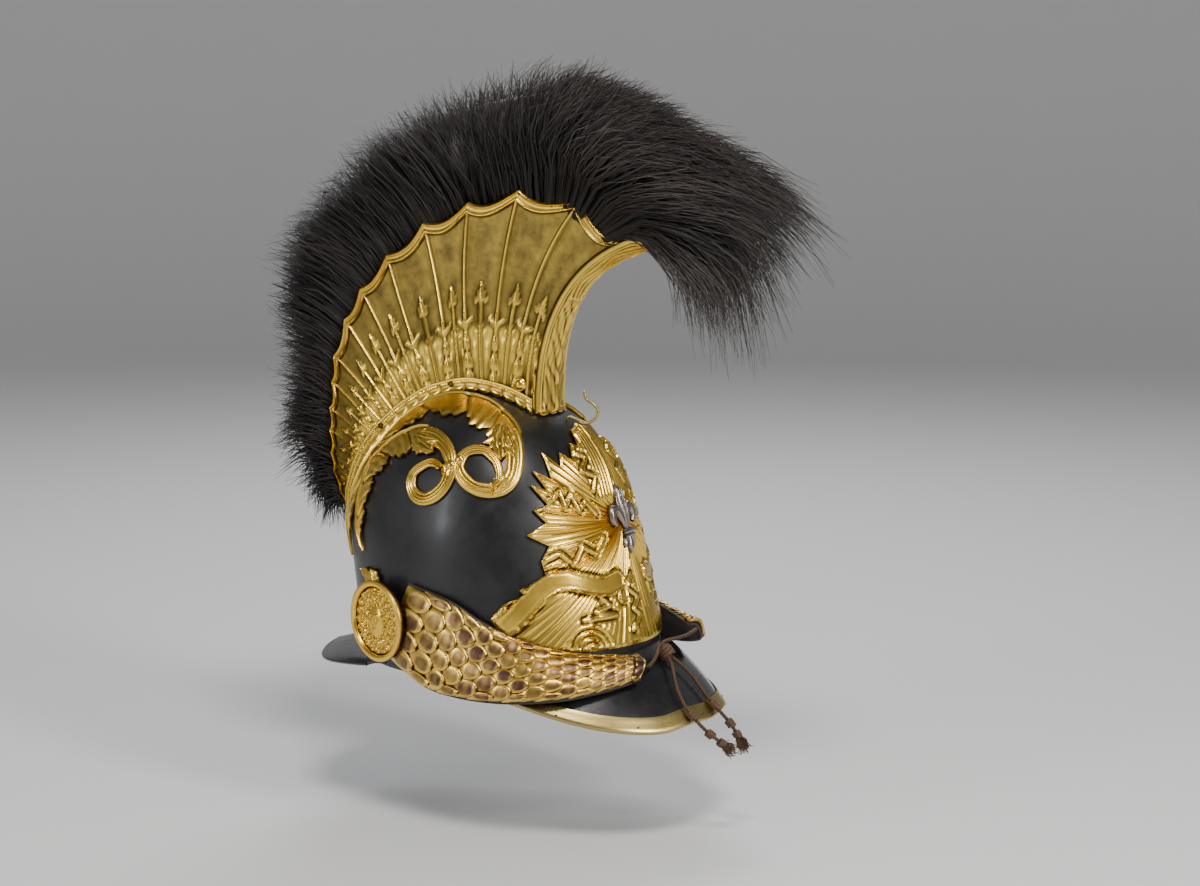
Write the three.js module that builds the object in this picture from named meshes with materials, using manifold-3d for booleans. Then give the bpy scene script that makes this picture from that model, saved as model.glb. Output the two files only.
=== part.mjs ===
// Cavalry helmet: leather skull, brass comb with a horsehair plume, front plate and scale chin straps.
// Millimetres, +Z up. The front faces -Y and the wearer's left is +X.
// Everything is laid out from the centre of the skull's rim, and the group is moved at the end
// so that its origin is the inside of the crown, where the head touches it.
import * as THREE from 'three';
import { mergeVertices } from 'three/addons/utils/BufferGeometryUtils.js';
import Module from 'manifold-3d';

const wasm = await Module();
wasm.setup();

// Skull
const SKULL_HEIGHT = 201;
const SKULL_HALF_WIDTH = 97;
const SKULL_FRONT = 121;
const SKULL_BACK = 124;
const SKULL_WALL = 2.5;
const SKULL_SIDES = 30;

// Air between pieces that lie on each other
const GAP = 0.4;
// Air under a broad faceted piece that lies on the curved skull
const SEAT_GAP = 0.6;

// Peak and its brass edging
const PEAK_SPREAD = 7;
const PEAK_JUT = 49;
const PEAK_SET_FORWARD = 25;
const PEAK_DROP = 32;
const PEAK_ROOT_UP = 16;
const PEAK_ROOT_TURN = 78;
const PEAK_ROUNDNESS = 2.15;
const PEAK_CROWN = 5;
const PEAK_THICK = 2.2;
const BAND_WIDE = 9.5;
const BAND_THICK = 0.8;

// Neck guard
const GUARD_JUT = 25;
const GUARD_INSET = 15;
const GUARD_DROP = 6;
const GUARD_TURN = 60;
const GUARD_THICK = 2.2;

// Front plate and badge
const BADGE_UP = 107;
const PLATE_GAP = 1.3;
const PLATE_UNDER = 1.0;
const PLATE_RIDGE = 2.2;
const BADGE_TALL = 49;
const BADGE_DEEP = 4;

// Comb
const COMB_FOOT_HALF = 20;
const COMB_TOP_HALF = 14;
const COMB_SHEET = 1.2;
const COMB_RIB = 1.6;
const STRIP_GAP = 0.7;
const COMB_REACH = 145;
const COMB_RISE = 145;
const SCALLOP_DEPTH = 0.2;
const STRIP_BULGE = 4;
const STRIP_KEEL = 9;
const HORN_AHEAD = 31;
const HORN_DROP = 11.4;
const HORN_HALF_WIDTH = 1.2;
const FOOT_BAND_TALL = 8;
const FOOT_BAND_THICK = 2.4;
const FOOT_BAND_TAPER = 0.7;
const BOSS_RADIUS = 5;
const BOSS_THICK = 2.6;
const TAIL_HALF_WIDTH = 7;
const TAIL_THICK = 1.2;
const TAIL_BELOW_COMB = 4;
const TAIL_ABOVE_GUARD = 6;

// Plume
const PLUME_TRAIL = 76;
const PLUME_LEAD = 119;
const PLUME_RISE = 88;
const PLUME_HALF_WIDTH = 46;
const LOCK_THICK = 15.6;

// Hook, scrolls and medallions
const HOOK_WIRE = 2.2;
const HOOK_TALL = 23;
const SCROLL_THICK = 1.2;
const SCROLL_RIDGE = 2.4;
const SCROLL_HALF_WIDTH = 8.5;
const MEDALLION_RADIUS = 30;
const MEDALLION_TURN = 114;
const MEDALLION_UP = 37;
const MEDALLION_LIFT = 9.8;
const MEDALLION_SEAT = 0.2;
const MEDALLION_STEM = 5;

// Chin straps
const STRAP_THICK = 2;
const STRAP_CROWN = 4;
const SCALE_ROWS = 18;
const SCALE_LOW = 0.9;
const SCALE_HIGH = 2.6;
const LEFT_STRAP_RISE = 15;
const LEFT_STRAP_STAND_OFF = 5;

// Tie cord
const CORD_DIAMETER = 2.5;
const KNOT_BORE = 3.7;
const KNOT_RADIUS = 5.6;
const KNOT_LONG = 7;
const TASSEL_RADIUS = 4.2;
const TASSEL_LONG = 15;

// Sizes that follow from others
const PEAK_HALF_WIDTH = SKULL_HALF_WIDTH + PEAK_SPREAD;
const PEAK_REACH = SKULL_FRONT + PEAK_JUT - PEAK_SET_FORWARD;
const GUARD_BACK = SKULL_BACK + GUARD_JUT;
const GUARD_HALF_WIDTH = SKULL_HALF_WIDTH - GUARD_INSET;
const COMB_TOP = SKULL_HEIGHT + COMB_RISE;
const PLUME_BACK = SKULL_BACK + PLUME_TRAIL;
const PLUME_FRONT = COMB_REACH + PLUME_LEAD;
const PLUME_TOP = COMB_TOP + PLUME_RISE;

const RIGHT = -1;
const LEFT = 1;
// The turn from the front to the back of the skull
const BACK_TURN = 180;

const BLACK_LEATHER = { color: 0x17161a, roughness: 0.42, metalness: 0 };
const BROWN_LEATHER = { color: 0x2b2019, roughness: 0.7, metalness: 0 };
const GILT_BRASS = { color: 0xc79a3c, roughness: 0.34, metalness: 1 };
const PALE_BRASS = { color: 0xb8a566, roughness: 0.38, metalness: 1 };
const WORN_SCALES = { color: 0x9c6a35, roughness: 0.45, metalness: 0.9 };
const DARK_SILVER = { color: 0x6f6663, roughness: 0.45, metalness: 0.9 };
const HORSEHAIR = { color: 0x17120f, roughness: 0.75, metalness: 0 };
const BROWN_SILK = { color: 0x6a4c33, roughness: 0.7, metalness: 0 };

const vector = (x, y, z) => new THREE.Vector3(x, y, z);
const radians = THREE.MathUtils.degToRad;
const lerp = THREE.MathUtils.lerp;

const helmet = new THREE.Group();

// Adds one named piece to the helmet.
function add(name, geometry, finish) {
  const mesh = new THREE.Mesh(geometry, new THREE.MeshStandardMaterial(finish));
  mesh.name = name;
  helmet.add(mesh);
  return mesh;
}

// Even numbers from first to last.
function steps(first, last, count) {
  return Array.from({ length: count + 1 }, (_, index) => lerp(first, last, index / count));
}

// The value of one column of a table at a fractional row, on a smooth curve through the rows.
function column(rows, key, place) {
  const last = rows.length - 1;
  const start = Math.max(0, Math.min(Math.floor(place), last - 1));
  const share = place - start;
  const value = (index) => rows[Math.max(0, Math.min(index, last))][key];
  const tangentIn = (value(start + 1) - value(start - 1)) / 2;
  const tangentOut = (value(start + 2) - value(start)) / 2;
  const square = share * share;
  const cube = square * share;
  return value(start) * (2 * cube - 3 * square + 1) + tangentIn * (cube - 2 * square + share)
    + value(start + 1) * (3 * square - 2 * cube) + tangentOut * (cube - square);
}

// Triangles as a plain geometry, turned inside out where the first try faces inwards.
function solidFrom(triangles) {
  const kept = triangles.filter(([a, b, c]) =>
    a.distanceTo(b) > 1e-4 && b.distanceTo(c) > 1e-4 && c.distanceTo(a) > 1e-4);
  const volume = kept.reduce((sum, [a, b, c]) => sum + a.dot(b.clone().cross(c)), 0);
  const corners = kept.flatMap(([a, b, c]) => (volume > 0 ? [a, b, c] : [a, c, b]));
  const geometry = new THREE.BufferGeometry().setFromPoints(corners);
  geometry.computeVertexNormals();
  return geometry;
}

function quad(triangles, a, b, c, d) {
  triangles.push([a, b, c], [a, c, d]);
}

// A wall between two grids of points, row by row, with its open edges closed.
function sheet(outer, inner, closedAcross = false) {
  const triangles = [];
  const rows = outer.length;
  const across = outer[0].length;
  const spans = closedAcross ? across : across - 1;
  for (let row = 0; row < rows - 1; row += 1) {
    for (let at = 0; at < spans; at += 1) {
      const next = (at + 1) % across;
      quad(triangles, outer[row][at], outer[row][next], outer[row + 1][next], outer[row + 1][at]);
      quad(triangles, inner[row][at], inner[row + 1][at], inner[row + 1][next], inner[row][next]);
    }
  }
  for (let at = 0; at < spans; at += 1) {
    const next = (at + 1) % across;
    const end = rows - 1;
    quad(triangles, outer[0][next], outer[0][at], inner[0][at], inner[0][next]);
    quad(triangles, outer[end][at], outer[end][next], inner[end][next], inner[end][at]);
  }
  if (!closedAcross) {
    const side = across - 1;
    for (let row = 0; row < rows - 1; row += 1) {
      quad(triangles, outer[row][0], outer[row + 1][0], inner[row + 1][0], inner[row][0]);
      quad(triangles, outer[row + 1][side], outer[row][side], inner[row][side], inner[row + 1][side]);
    }
  }
  return solidFrom(triangles);
}

// A closed body through rings of points, with a flat fan on each end.
function loft(rings) {
  const triangles = [];
  const count = rings[0].length;
  for (let row = 0; row < rings.length - 1; row += 1) {
    for (let at = 0; at < count; at += 1) {
      const next = (at + 1) % count;
      quad(triangles, rings[row][at], rings[row][next], rings[row + 1][next], rings[row + 1][at]);
    }
  }
  const first = rings[0];
  const last = rings[rings.length - 1];
  for (let at = 1; at < count - 1; at += 1) {
    triangles.push([first[0], first[at + 1], first[at]]);
    triangles.push([last[0], last[at], last[at + 1]]);
  }
  return solidFrom(triangles);
}

function manifoldOf(geometry) {
  const bare = geometry.index ? geometry.toNonIndexed() : geometry.clone();
  const positions = new THREE.BufferGeometry().setAttribute('position', bare.getAttribute('position'));
  const merged = mergeVertices(positions, 1e-3);
  return new wasm.Manifold(new wasm.Mesh({
    numProp: 3,
    vertProperties: merged.attributes.position.array,
    triVerts: new Uint32Array(merged.index.array),
  }));
}

// Joins closed geometries into one body.
function fuse(geometries) {
  const whole = geometries.map(manifoldOf).reduce((sum, next) => sum.add(next));
  const mesh = whole.getMesh();
  const geometry = new THREE.BufferGeometry();
  geometry.setAttribute('position', new THREE.BufferAttribute(new Float32Array(mesh.vertProperties), 3));
  geometry.setIndex(new THREE.BufferAttribute(new Uint32Array(mesh.triVerts), 1));
  geometry.computeVertexNormals();
  return geometry;
}

// A round bar along a curve through points, in steps of about two and a half diameters.
function tube(points, diameter, sides, count) {
  const section = new THREE.Shape();
  for (let side = 0; side < sides; side += 1) {
    const angle = (side / sides) * Math.PI * 2;
    const at = [Math.cos(angle) * diameter / 2, Math.sin(angle) * diameter / 2];
    if (side === 0) section.moveTo(...at);
    else section.lineTo(...at);
  }
  section.closePath();
  const route = new THREE.CatmullRomCurve3(points);
  return new THREE.ExtrudeGeometry(section, { steps: count, extrudePath: route, bevelEnabled: false });
}

// Skull sections from the rim to the crown. up is a share of the height; centre and back are
// shares of the back reach, front of the front reach, wide of the half width.
const SKULL_SECTIONS = [
  { up: 0.00, centre: 0.00, front: 1.00, back: 0.86, wide: 1.00 },
  { up: 0.08, centre: 0.00, front: 0.98, back: 0.89, wide: 1.00 },
  { up: 0.20, centre: 0.00, front: 0.93, back: 0.93, wide: 1.00 },
  { up: 0.35, centre: 0.00, front: 0.86, back: 0.97, wide: 0.99 },
  { up: 0.50, centre: 0.00, front: 0.80, back: 1.00, wide: 0.965 },
  { up: 0.60, centre: 0.00, front: 0.745, back: 0.965, wide: 0.925 },
  { up: 0.70, centre: 0.015, front: 0.70, back: 0.87, wide: 0.86 },
  { up: 0.78, centre: 0.045, front: 0.65, back: 0.735, wide: 0.775 },
  { up: 0.86, centre: 0.08, front: 0.56, back: 0.56, wide: 0.65 },
  { up: 0.92, centre: 0.10, front: 0.42, back: 0.40, wide: 0.51 },
  { up: 0.96, centre: 0.11, front: 0.29, back: 0.27, wide: 0.36 },
  { up: 0.985, centre: 0.113, front: 0.155, back: 0.145, wide: 0.20 },
  { up: 1.00, centre: 0.113, front: 0.00, back: 0.00, wide: 0.00 },
];
const CROWN_PLACE = SKULL_SECTIONS.length - 1;
const CROWN_BACK = SKULL_SECTIONS[CROWN_PLACE].centre * SKULL_BACK;
const HEART = vector(0, 0, SKULL_HEIGHT / 2);

function skullLevel(place) {
  return {
    up: column(SKULL_SECTIONS, 'up', place) * SKULL_HEIGHT,
    centre: column(SKULL_SECTIONS, 'centre', place) * SKULL_BACK,
    front: column(SKULL_SECTIONS, 'front', place) * SKULL_FRONT,
    back: column(SKULL_SECTIONS, 'back', place) * SKULL_BACK,
    wide: column(SKULL_SECTIONS, 'wide', place) * SKULL_HALF_WIDTH,
  };
}

// The fractional section at a height above the rim.
function placeAt(up) {
  let low = 0;
  let high = CROWN_PLACE;
  for (let tries = 0; tries < 30; tries += 1) {
    const middle = (low + high) / 2;
    if (column(SKULL_SECTIONS, 'up', middle) * SKULL_HEIGHT < up) low = middle;
    else high = middle;
  }
  return (low + high) / 2;
}

// A point of the skull's outer face. turn is in degrees from the front towards the wearer's right.
function skullFace(turn, place) {
  const level = skullLevel(place);
  const forward = Math.cos(radians(turn));
  const reach = forward > 0 ? level.front : level.back;
  return vector(-level.wide * Math.sin(radians(turn)), level.centre - reach * forward, level.up);
}

function skullNormal(turn, place) {
  const flank = Math.min(place, CROWN_PLACE - 0.4);
  const alongTurn = skullFace(turn + 1, flank).sub(skullFace(turn - 1, flank));
  const low = Math.max(flank - 0.05, 0);
  const alongHeight = skullFace(turn, flank + 0.05).sub(skullFace(turn, low));
  return alongHeight.cross(alongTurn).normalize();
}

function skullPoint(turn, place, lift = 0) {
  if (place >= CROWN_PLACE) return vector(0, CROWN_BACK, SKULL_HEIGHT + lift);
  return skullFace(turn, place).addScaledVector(skullNormal(turn, place), lift);
}

function turnAt(point, level) {
  const reach = point.y < level.centre ? level.front : level.back;
  const angle = Math.atan2(-point.x / level.wide, (level.centre - point.y) / reach);
  return THREE.MathUtils.radToDeg(angle);
}

// The point of the skull that lies on the ray from its heart through a point, lifted off it.
function onSkull(point, lift = 0, heart = HEART) {
  let low = 0.2;
  let high = 2.5;
  const ray = point.clone().sub(heart);
  for (let tries = 0; tries < 30; tries += 1) {
    const middle = (low + high) / 2;
    const probe = heart.clone().addScaledVector(ray, middle);
    const level = skullLevel(placeAt(probe.z));
    const reach = probe.y < level.centre ? level.front : level.back;
    const size = ((probe.y - level.centre) / reach) ** 2 + (probe.x / level.wide) ** 2;
    if (probe.z < SKULL_HEIGHT && size < 1) low = middle;
    else high = middle;
  }
  const face = heart.clone().addScaledVector(ray, low);
  const place = placeAt(face.z);
  return face.addScaledVector(skullNormal(turnAt(face, skullLevel(place)), place), lift);
}

// Brings a point of the comb's foot to the skull without moving it sideways.
function footOnSkull(point) {
  return onSkull(point, SEAT_GAP, HEART.clone().setX(point.x));
}

function buildSkull() {
  const ring = (place, lift) => Array.from({ length: SKULL_SIDES }, (_, side) =>
    skullPoint(side * 360 / SKULL_SIDES, place, lift));
  const places = steps(0, CROWN_PLACE, CROWN_PLACE);
  const outer = places.map((place) => ring(place, 0));
  const inner = places.map((place) => ring(place, -SKULL_WALL));
  add('skull', sheet(outer, inner, true), BLACK_LEATHER);
}

// How far the peak's edge drops below the rim, from the middle to the side, as shares of the drop.
const PEAK_EDGE = [
  { drop: 0.94 },
  { drop: 0.91 },
  { drop: 1.00 },
  { drop: 0.95 },
  { drop: 0.82 },
  { drop: 0.60 },
  { drop: 0.32 },
  { drop: 0.06 },
];

// A point of the peak's middle face. across runs from -1 at the left end to 1 at the right end,
// out from 0 at the skull to 1 at the edge.
function peakFace(across, out) {
  const sideways = Math.abs(across);
  const rootUp = PEAK_ROOT_UP * (1 - 0.9 * sideways ** 2.2);
  const root = skullPoint(across * PEAK_ROOT_TURN, placeAt(rootUp), PEAK_THICK / 2 + GAP);
  const angle = across * Math.PI / 2;
  const power = 2 / PEAK_ROUNDNESS;
  const edge = vector(
    -PEAK_HALF_WIDTH * Math.sign(across) * Math.abs(Math.sin(angle)) ** power,
    -PEAK_SET_FORWARD - PEAK_REACH * Math.abs(Math.cos(angle)) ** power,
    -PEAK_DROP * column(PEAK_EDGE, 'drop', sideways * (PEAK_EDGE.length - 1)),
  );
  const point = root.lerp(edge, out);
  point.z += PEAK_CROWN * 4 * out * (1 - out) * Math.cos(angle);
  return point;
}

function peakPoint(across, out, lift) {
  const before = peakFace(Math.max(across - 0.02, -1), 0.9);
  const alongEdge = peakFace(Math.min(across + 0.02, 1), 0.9).sub(before);
  const outward = peakFace(across, 1).sub(peakFace(across, 0.8));
  const normal = outward.cross(alongEdge).normalize();
  if (normal.z < 0) normal.negate();
  return peakFace(across, out).addScaledVector(normal, lift);
}

function buildPeak() {
  const acrossSteps = steps(-1, 1, 24);
  const outSteps = steps(0, 1, 4);
  const face = (lift) => acrossSteps.map((across) => outSteps.map((out) => peakPoint(across, out, lift)));
  add('peak', sheet(face(PEAK_THICK / 2), face(-PEAK_THICK / 2)), BLACK_LEATHER);

  const outside = [];
  const inside = [];
  for (const across of acrossSteps) {
    // The edging sits looser at the peak's ends, where the leather twists most.
    const slack = GAP * (1 + 2 * across ** 8);
    const hold = PEAK_THICK / 2 + slack;
    const length = peakFace(across, 1).distanceTo(peakFace(across, 0));
    const start = 1 - Math.min(BAND_WIDE / length, 0.7);
    const lip = 1 + slack / length;
    const end = lip + BAND_THICK / length;
    const hollow = [[start, hold], [lip, hold], [lip, -hold], [start, -hold]];
    const cover = [[start, hold], [end, hold], [end, -hold], [start, -hold]];
    inside.push(hollow.map(([out, lift]) => peakPoint(across, out, lift)));
    outside.push(cover.map(([out, lift]) => peakPoint(across, out, lift + Math.sign(lift) * BAND_THICK)));
  }
  add('peak_band', sheet(outside, inside), PALE_BRASS);
}

// The neck guard's edge from the middle to one end, as shares of its half width and back reach.
const GUARD_EDGE = [
  { side: 0.00, back: 1.00 },
  { side: 0.26, back: 0.965 },
  { side: 0.50, back: 0.91 },
  { side: 0.72, back: 0.84 },
  { side: 0.90, back: 0.745 },
  { side: 1.00, back: 0.63 },
  { side: 1.05, back: 0.46 },
];

function guardPoint(across, out, lift) {
  const sideways = Math.abs(across);
  const place = sideways * (GUARD_EDGE.length - 1);
  const root = skullPoint(BACK_TURN + across * GUARD_TURN, placeAt(GUARD_THICK), SEAT_GAP);
  const edge = vector(
    Math.sign(across) * column(GUARD_EDGE, 'side', place) * GUARD_HALF_WIDTH,
    column(GUARD_EDGE, 'back', place) * GUARD_BACK,
    -GUARD_DROP * (1 - across ** 2),
  );
  const point = root.lerp(edge, out);
  point.z += lift;
  return point;
}

function buildNeckGuard() {
  const face = (lift) => steps(-1, 1, 16).map((across) =>
    steps(0, 1, 2).map((out) => guardPoint(across, out, lift)));
  add('neck_guard', sheet(face(GUARD_THICK / 2), face(-GUARD_THICK / 2)), BLACK_LEATHER);
}

// Edge of the front plate from the top down one side. turn is in degrees, up a share of the skull
// height, and ridge says whether a raised ray ends there.
const PLATE_EDGE = [
  { turn: 0, up: 0.865, ridge: 1 },
  { turn: 5, up: 0.855, ridge: 0 },
  { turn: 9, up: 0.85, ridge: 1 },
  { turn: 13, up: 0.80, ridge: 0 },
  { turn: 18, up: 0.81, ridge: 1 },
  { turn: 22, up: 0.755, ridge: 0 },
  { turn: 28, up: 0.785, ridge: 1 },
  { turn: 31, up: 0.73, ridge: 0 },
  { turn: 38, up: 0.79, ridge: 1 },
  { turn: 37, up: 0.70, ridge: 0 },
  { turn: 46, up: 0.735, ridge: 1 },
  { turn: 40, up: 0.665, ridge: 0 },
  { turn: 48, up: 0.69, ridge: 1 },
  { turn: 41, up: 0.62, ridge: 0 },
  { turn: 48, up: 0.605, ridge: 1 },
  { turn: 43, up: 0.56, ridge: 0 },
  { turn: 52, up: 0.52, ridge: 1 },
  { turn: 43, up: 0.48, ridge: 0 },
  { turn: 47, up: 0.43, ridge: 1 },
  { turn: 46, up: 0.38, ridge: 0 },
  { turn: 57, up: 0.33, ridge: 1 },
  { turn: 54, up: 0.30, ridge: 0 },
  { turn: 64, up: 0.28, ridge: 1 },
  { turn: 69, up: 0.23, ridge: 1 },
  { turn: 66, up: 0.17, ridge: 0 },
  { turn: 58, up: 0.12, ridge: 1 },
  { turn: 49, up: 0.103, ridge: 0 },
  { turn: 39, up: 0.103, ridge: 1 },
  { turn: 29, up: 0.103, ridge: 0 },
  { turn: 19, up: 0.103, ridge: 1 },
  { turn: 9, up: 0.103, ridge: 0 },
];
const PLATE_FOOT = { turn: 0, up: 0.103, ridge: 1 };

function buildFrontPlate() {
  const mirrored = PLATE_EDGE.slice(1).reverse().map((row) => ({ ...row, turn: -row.turn }));
  const edge = [...PLATE_EDGE, PLATE_FOOT, ...mirrored];
  const rings = [0, 0.24, 0.46, 0.66, 0.84, 1];
  const face = (under) => rings.map((share) => edge.map((row) => {
    const up = lerp(BADGE_UP, row.up * SKULL_HEIGHT, share);
    const relief = under ? 0 : PLATE_UNDER + (row.ridge || share === 0 ? PLATE_RIDGE - PLATE_UNDER : 0);
    return skullPoint(row.turn * share, placeAt(up), PLATE_GAP + relief);
  }));
  add('front_plate', sheet(face(false), face(true), true), GILT_BRASS);
}

// Half of the badge's outline from its tip down, as shares of the badge's height.
const BADGE_EDGE = [
  { side: 0.00, up: 0.50 },
  { side: 0.085, up: 0.34 },
  { side: 0.10, up: 0.20 },
  { side: 0.06, up: 0.06 },
  { side: 0.14, up: 0.10 },
  { side: 0.22, up: 0.17 },
  { side: 0.31, up: 0.13 },
  { side: 0.335, up: 0.02 },
  { side: 0.28, up: -0.07 },
  { side: 0.21, up: -0.05 },
  { side: 0.24, up: 0.03 },
  { side: 0.17, up: 0.02 },
  { side: 0.11, up: -0.06 },
  { side: 0.14, up: -0.10 },
  { side: 0.14, up: -0.16 },
  { side: 0.10, up: -0.18 },
  { side: 0.16, up: -0.26 },
  { side: 0.13, up: -0.35 },
  { side: 0.07, up: -0.30 },
  { side: 0.00, up: -0.50 },
];

function buildBadge() {
  const half = BADGE_EDGE.map((row) => new THREE.Vector2(row.side * BADGE_TALL, row.up * BADGE_TALL));
  const other = half.slice(1, -1).reverse().map((point) => new THREE.Vector2(-point.x, point.y));
  const outline = new THREE.Shape([...half, ...other]);
  const bevel = { bevelThickness: 1.2, bevelSize: 0.8, bevelOffset: -0.8, bevelSegments: 1 };
  const geometry = new THREE.ExtrudeGeometry(outline, { depth: BADGE_DEEP - 1.2, ...bevel });
  const bare = geometry.index ? geometry.toNonIndexed() : geometry;
  const spots = bare.getAttribute('position');
  const turnPerMillimetre = 180 / Math.PI / SKULL_HALF_WIDTH;
  const foot = PLATE_GAP + PLATE_RIDGE + GAP + bevel.bevelThickness;
  for (let index = 0; index < spots.count; index += 1) {
    const place = placeAt(BADGE_UP + spots.getY(index));
    const laid = skullPoint(-spots.getX(index) * turnPerMillimetre, place, foot + spots.getZ(index));
    spots.setXYZ(index, laid.x, laid.y, laid.z);
  }
  add('fleur_de_lis', bare, DARK_SILVER);
}

// The comb's ribs from the back end to the front edge. tipBack and tipUp are where the rib ends,
// footBack and footUp where it meets the skull, bowBack and bowUp what bends it, all as shares of
// the comb's reach and height.
const COMB_RIBS = [
  { tipBack: 0.90, tipUp: 0.285, bowBack: 0.86, bowUp: 0.285, footBack: 0.84, footUp: 0.491 },
  { tipBack: 0.945, tipUp: 0.327, bowBack: 0.90, bowUp: 0.325, footBack: 0.83, footUp: 0.554 },
  { tipBack: 0.985, tipUp: 0.370, bowBack: 0.91, bowUp: 0.360, footBack: 0.81, footUp: 0.611 },
  { tipBack: 1.00, tipUp: 0.412, bowBack: 0.91, bowUp: 0.395, footBack: 0.78, footUp: 0.671 },
  { tipBack: 1.005, tipUp: 0.462, bowBack: 0.90, bowUp: 0.435, footBack: 0.75, footUp: 0.714 },
  { tipBack: 1.005, tipUp: 0.510, bowBack: 0.88, bowUp: 0.480, footBack: 0.71, footUp: 0.757 },
  { tipBack: 0.99, tipUp: 0.570, bowBack: 0.86, bowUp: 0.530, footBack: 0.66, footUp: 0.802 },
  { tipBack: 0.975, tipUp: 0.628, bowBack: 0.82, bowUp: 0.580, footBack: 0.60, footUp: 0.843 },
  { tipBack: 0.905, tipUp: 0.708, bowBack: 0.76, bowUp: 0.640, footBack: 0.53, footUp: 0.881 },
  { tipBack: 0.805, tipUp: 0.778, bowBack: 0.66, bowUp: 0.690, footBack: 0.45, footUp: 0.918 },
  { tipBack: 0.64, tipUp: 0.853, bowBack: 0.54, bowUp: 0.740, footBack: 0.36, footUp: 0.950 },
  { tipBack: 0.42, tipUp: 0.925, bowBack: 0.29, bowUp: 0.770, footBack: 0.25, footUp: 0.981 },
  { tipBack: 0.15, tipUp: 0.971, bowBack: 0.20, bowUp: 0.800, footBack: 0.12, footUp: 0.993 },
  { tipBack: -0.145, tipUp: 1.00, bowBack: -0.01, bowUp: 0.810, footBack: -0.01, footUp: 0.985 },
  { tipBack: -0.495, tipUp: 0.98, bowBack: -0.17, bowUp: 0.830, footBack: -0.13, footUp: 0.955 },
  { tipBack: -0.725, tipUp: 0.90, bowBack: -0.235, bowUp: 0.815, footBack: -0.25, footUp: 0.912 },
];
const LAST_RIB = COMB_RIBS.length - 1;
const COMB_SHARES = [0, 0.26, 0.52, 0.77, 1];

// A point of the comb's middle surface at x = 0. rib counts along the comb from the back, and
// share runs from 0 at the skull to 1 at the smooth line through the rib tips.
function combLine(rib, share) {
  const value = (key, size) => column(COMB_RIBS, key, rib) * size;
  const foot = vector(0, value('footBack', COMB_REACH), value('footUp', SKULL_HEIGHT));
  const bow = vector(0, value('bowBack', COMB_REACH), value('bowUp', COMB_TOP));
  const tip = vector(0, value('tipBack', COMB_REACH), value('tipUp', COMB_TOP));
  const left = 1 - share;
  return foot.multiplyScalar(left * left)
    .addScaledVector(bow, 2 * left * share)
    .addScaledVector(tip, share * share);
}

const combHalf = (share) => lerp(COMB_FOOT_HALF, COMB_TOP_HALF, share);

// A point on one side of the comb, out by lift from its sheet.
function combPoint(side, rib, share, lift) {
  const point = combLine(rib, share);
  point.x = side * (combHalf(share) + lift);
  return share > 0 ? point : footOnSkull(point);
}

function combLength(rib) {
  return combLine(rib, 1).distanceTo(combLine(rib, 0));
}

// The share of a rib's length that the hollow between two rib tips leaves.
function scallop(rib) {
  const start = Math.min(Math.floor(rib), LAST_RIB - 1);
  const between = rib - start;
  const span = combLine(start, 1).distanceTo(combLine(start + 1, 1));
  return 1 - 4 * between * (1 - between) * SCALLOP_DEPTH * span / combLength(rib);
}

function buildComb() {
  const halves = steps(0, LAST_RIB, LAST_RIB * 2);
  for (const [name, side] of [['right', RIGHT], ['left', LEFT]]) {
    const face = (outside) => halves.map((rib) => COMB_SHARES.map((share) => {
      const raised = Number.isInteger(rib) ? COMB_RIB : 0;
      return combPoint(side, rib, share * scallop(rib), outside ? raised : -COMB_SHEET);
    }));
    add(`comb_panel_${name}`, sheet(face(true), face(false)), GILT_BRASS);
  }
}

// A point of the strip that closes the comb in front. across runs from -1 to 1.
function stripPoint(across, share, lift) {
  const ahead = combLine(LAST_RIB, Math.min(share + 0.02, 1)).sub(combLine(LAST_RIB, share - 0.02));
  const forward = vector(0, -ahead.z, ahead.y).normalize();
  const bulge = lerp(STRIP_BULGE, STRIP_KEEL, share ** 2) * (1 - across ** 2);
  const half = combHalf(share) - COMB_SHEET / 2;
  const point = combLine(LAST_RIB, share).addScaledVector(forward, STRIP_GAP + bulge + lift);
  point.x = across * half;
  return share > 0 ? point : footOnSkull(point);
}

function buildCombFront() {
  const acrossSteps = steps(-1, 1, 6);
  const horn = combLine(LAST_RIB, 1).add(vector(0, -HORN_AHEAD, -HORN_DROP));
  const face = (lift) => [
    ...COMB_SHARES.map((share) => acrossSteps.map((across) => stripPoint(across, share, lift))),
    acrossSteps.map((across) => vector(across * HORN_HALF_WIDTH, horn.y, horn.z + lift / 2)),
  ];
  add('comb_front', sheet(face(COMB_SHEET), face(0)), GILT_BRASS);
}

// Where the foot band runs and where its boss sits, in ribs and shares of a rib.
const FOOT_BAND_RIBS = [0.4, LAST_RIB - 0.3];
const FOOT_BAND_STEPS = 25;
const BOSS_PLACE = { rib: LAST_RIB - 0.7, share: 0.08 };

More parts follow.
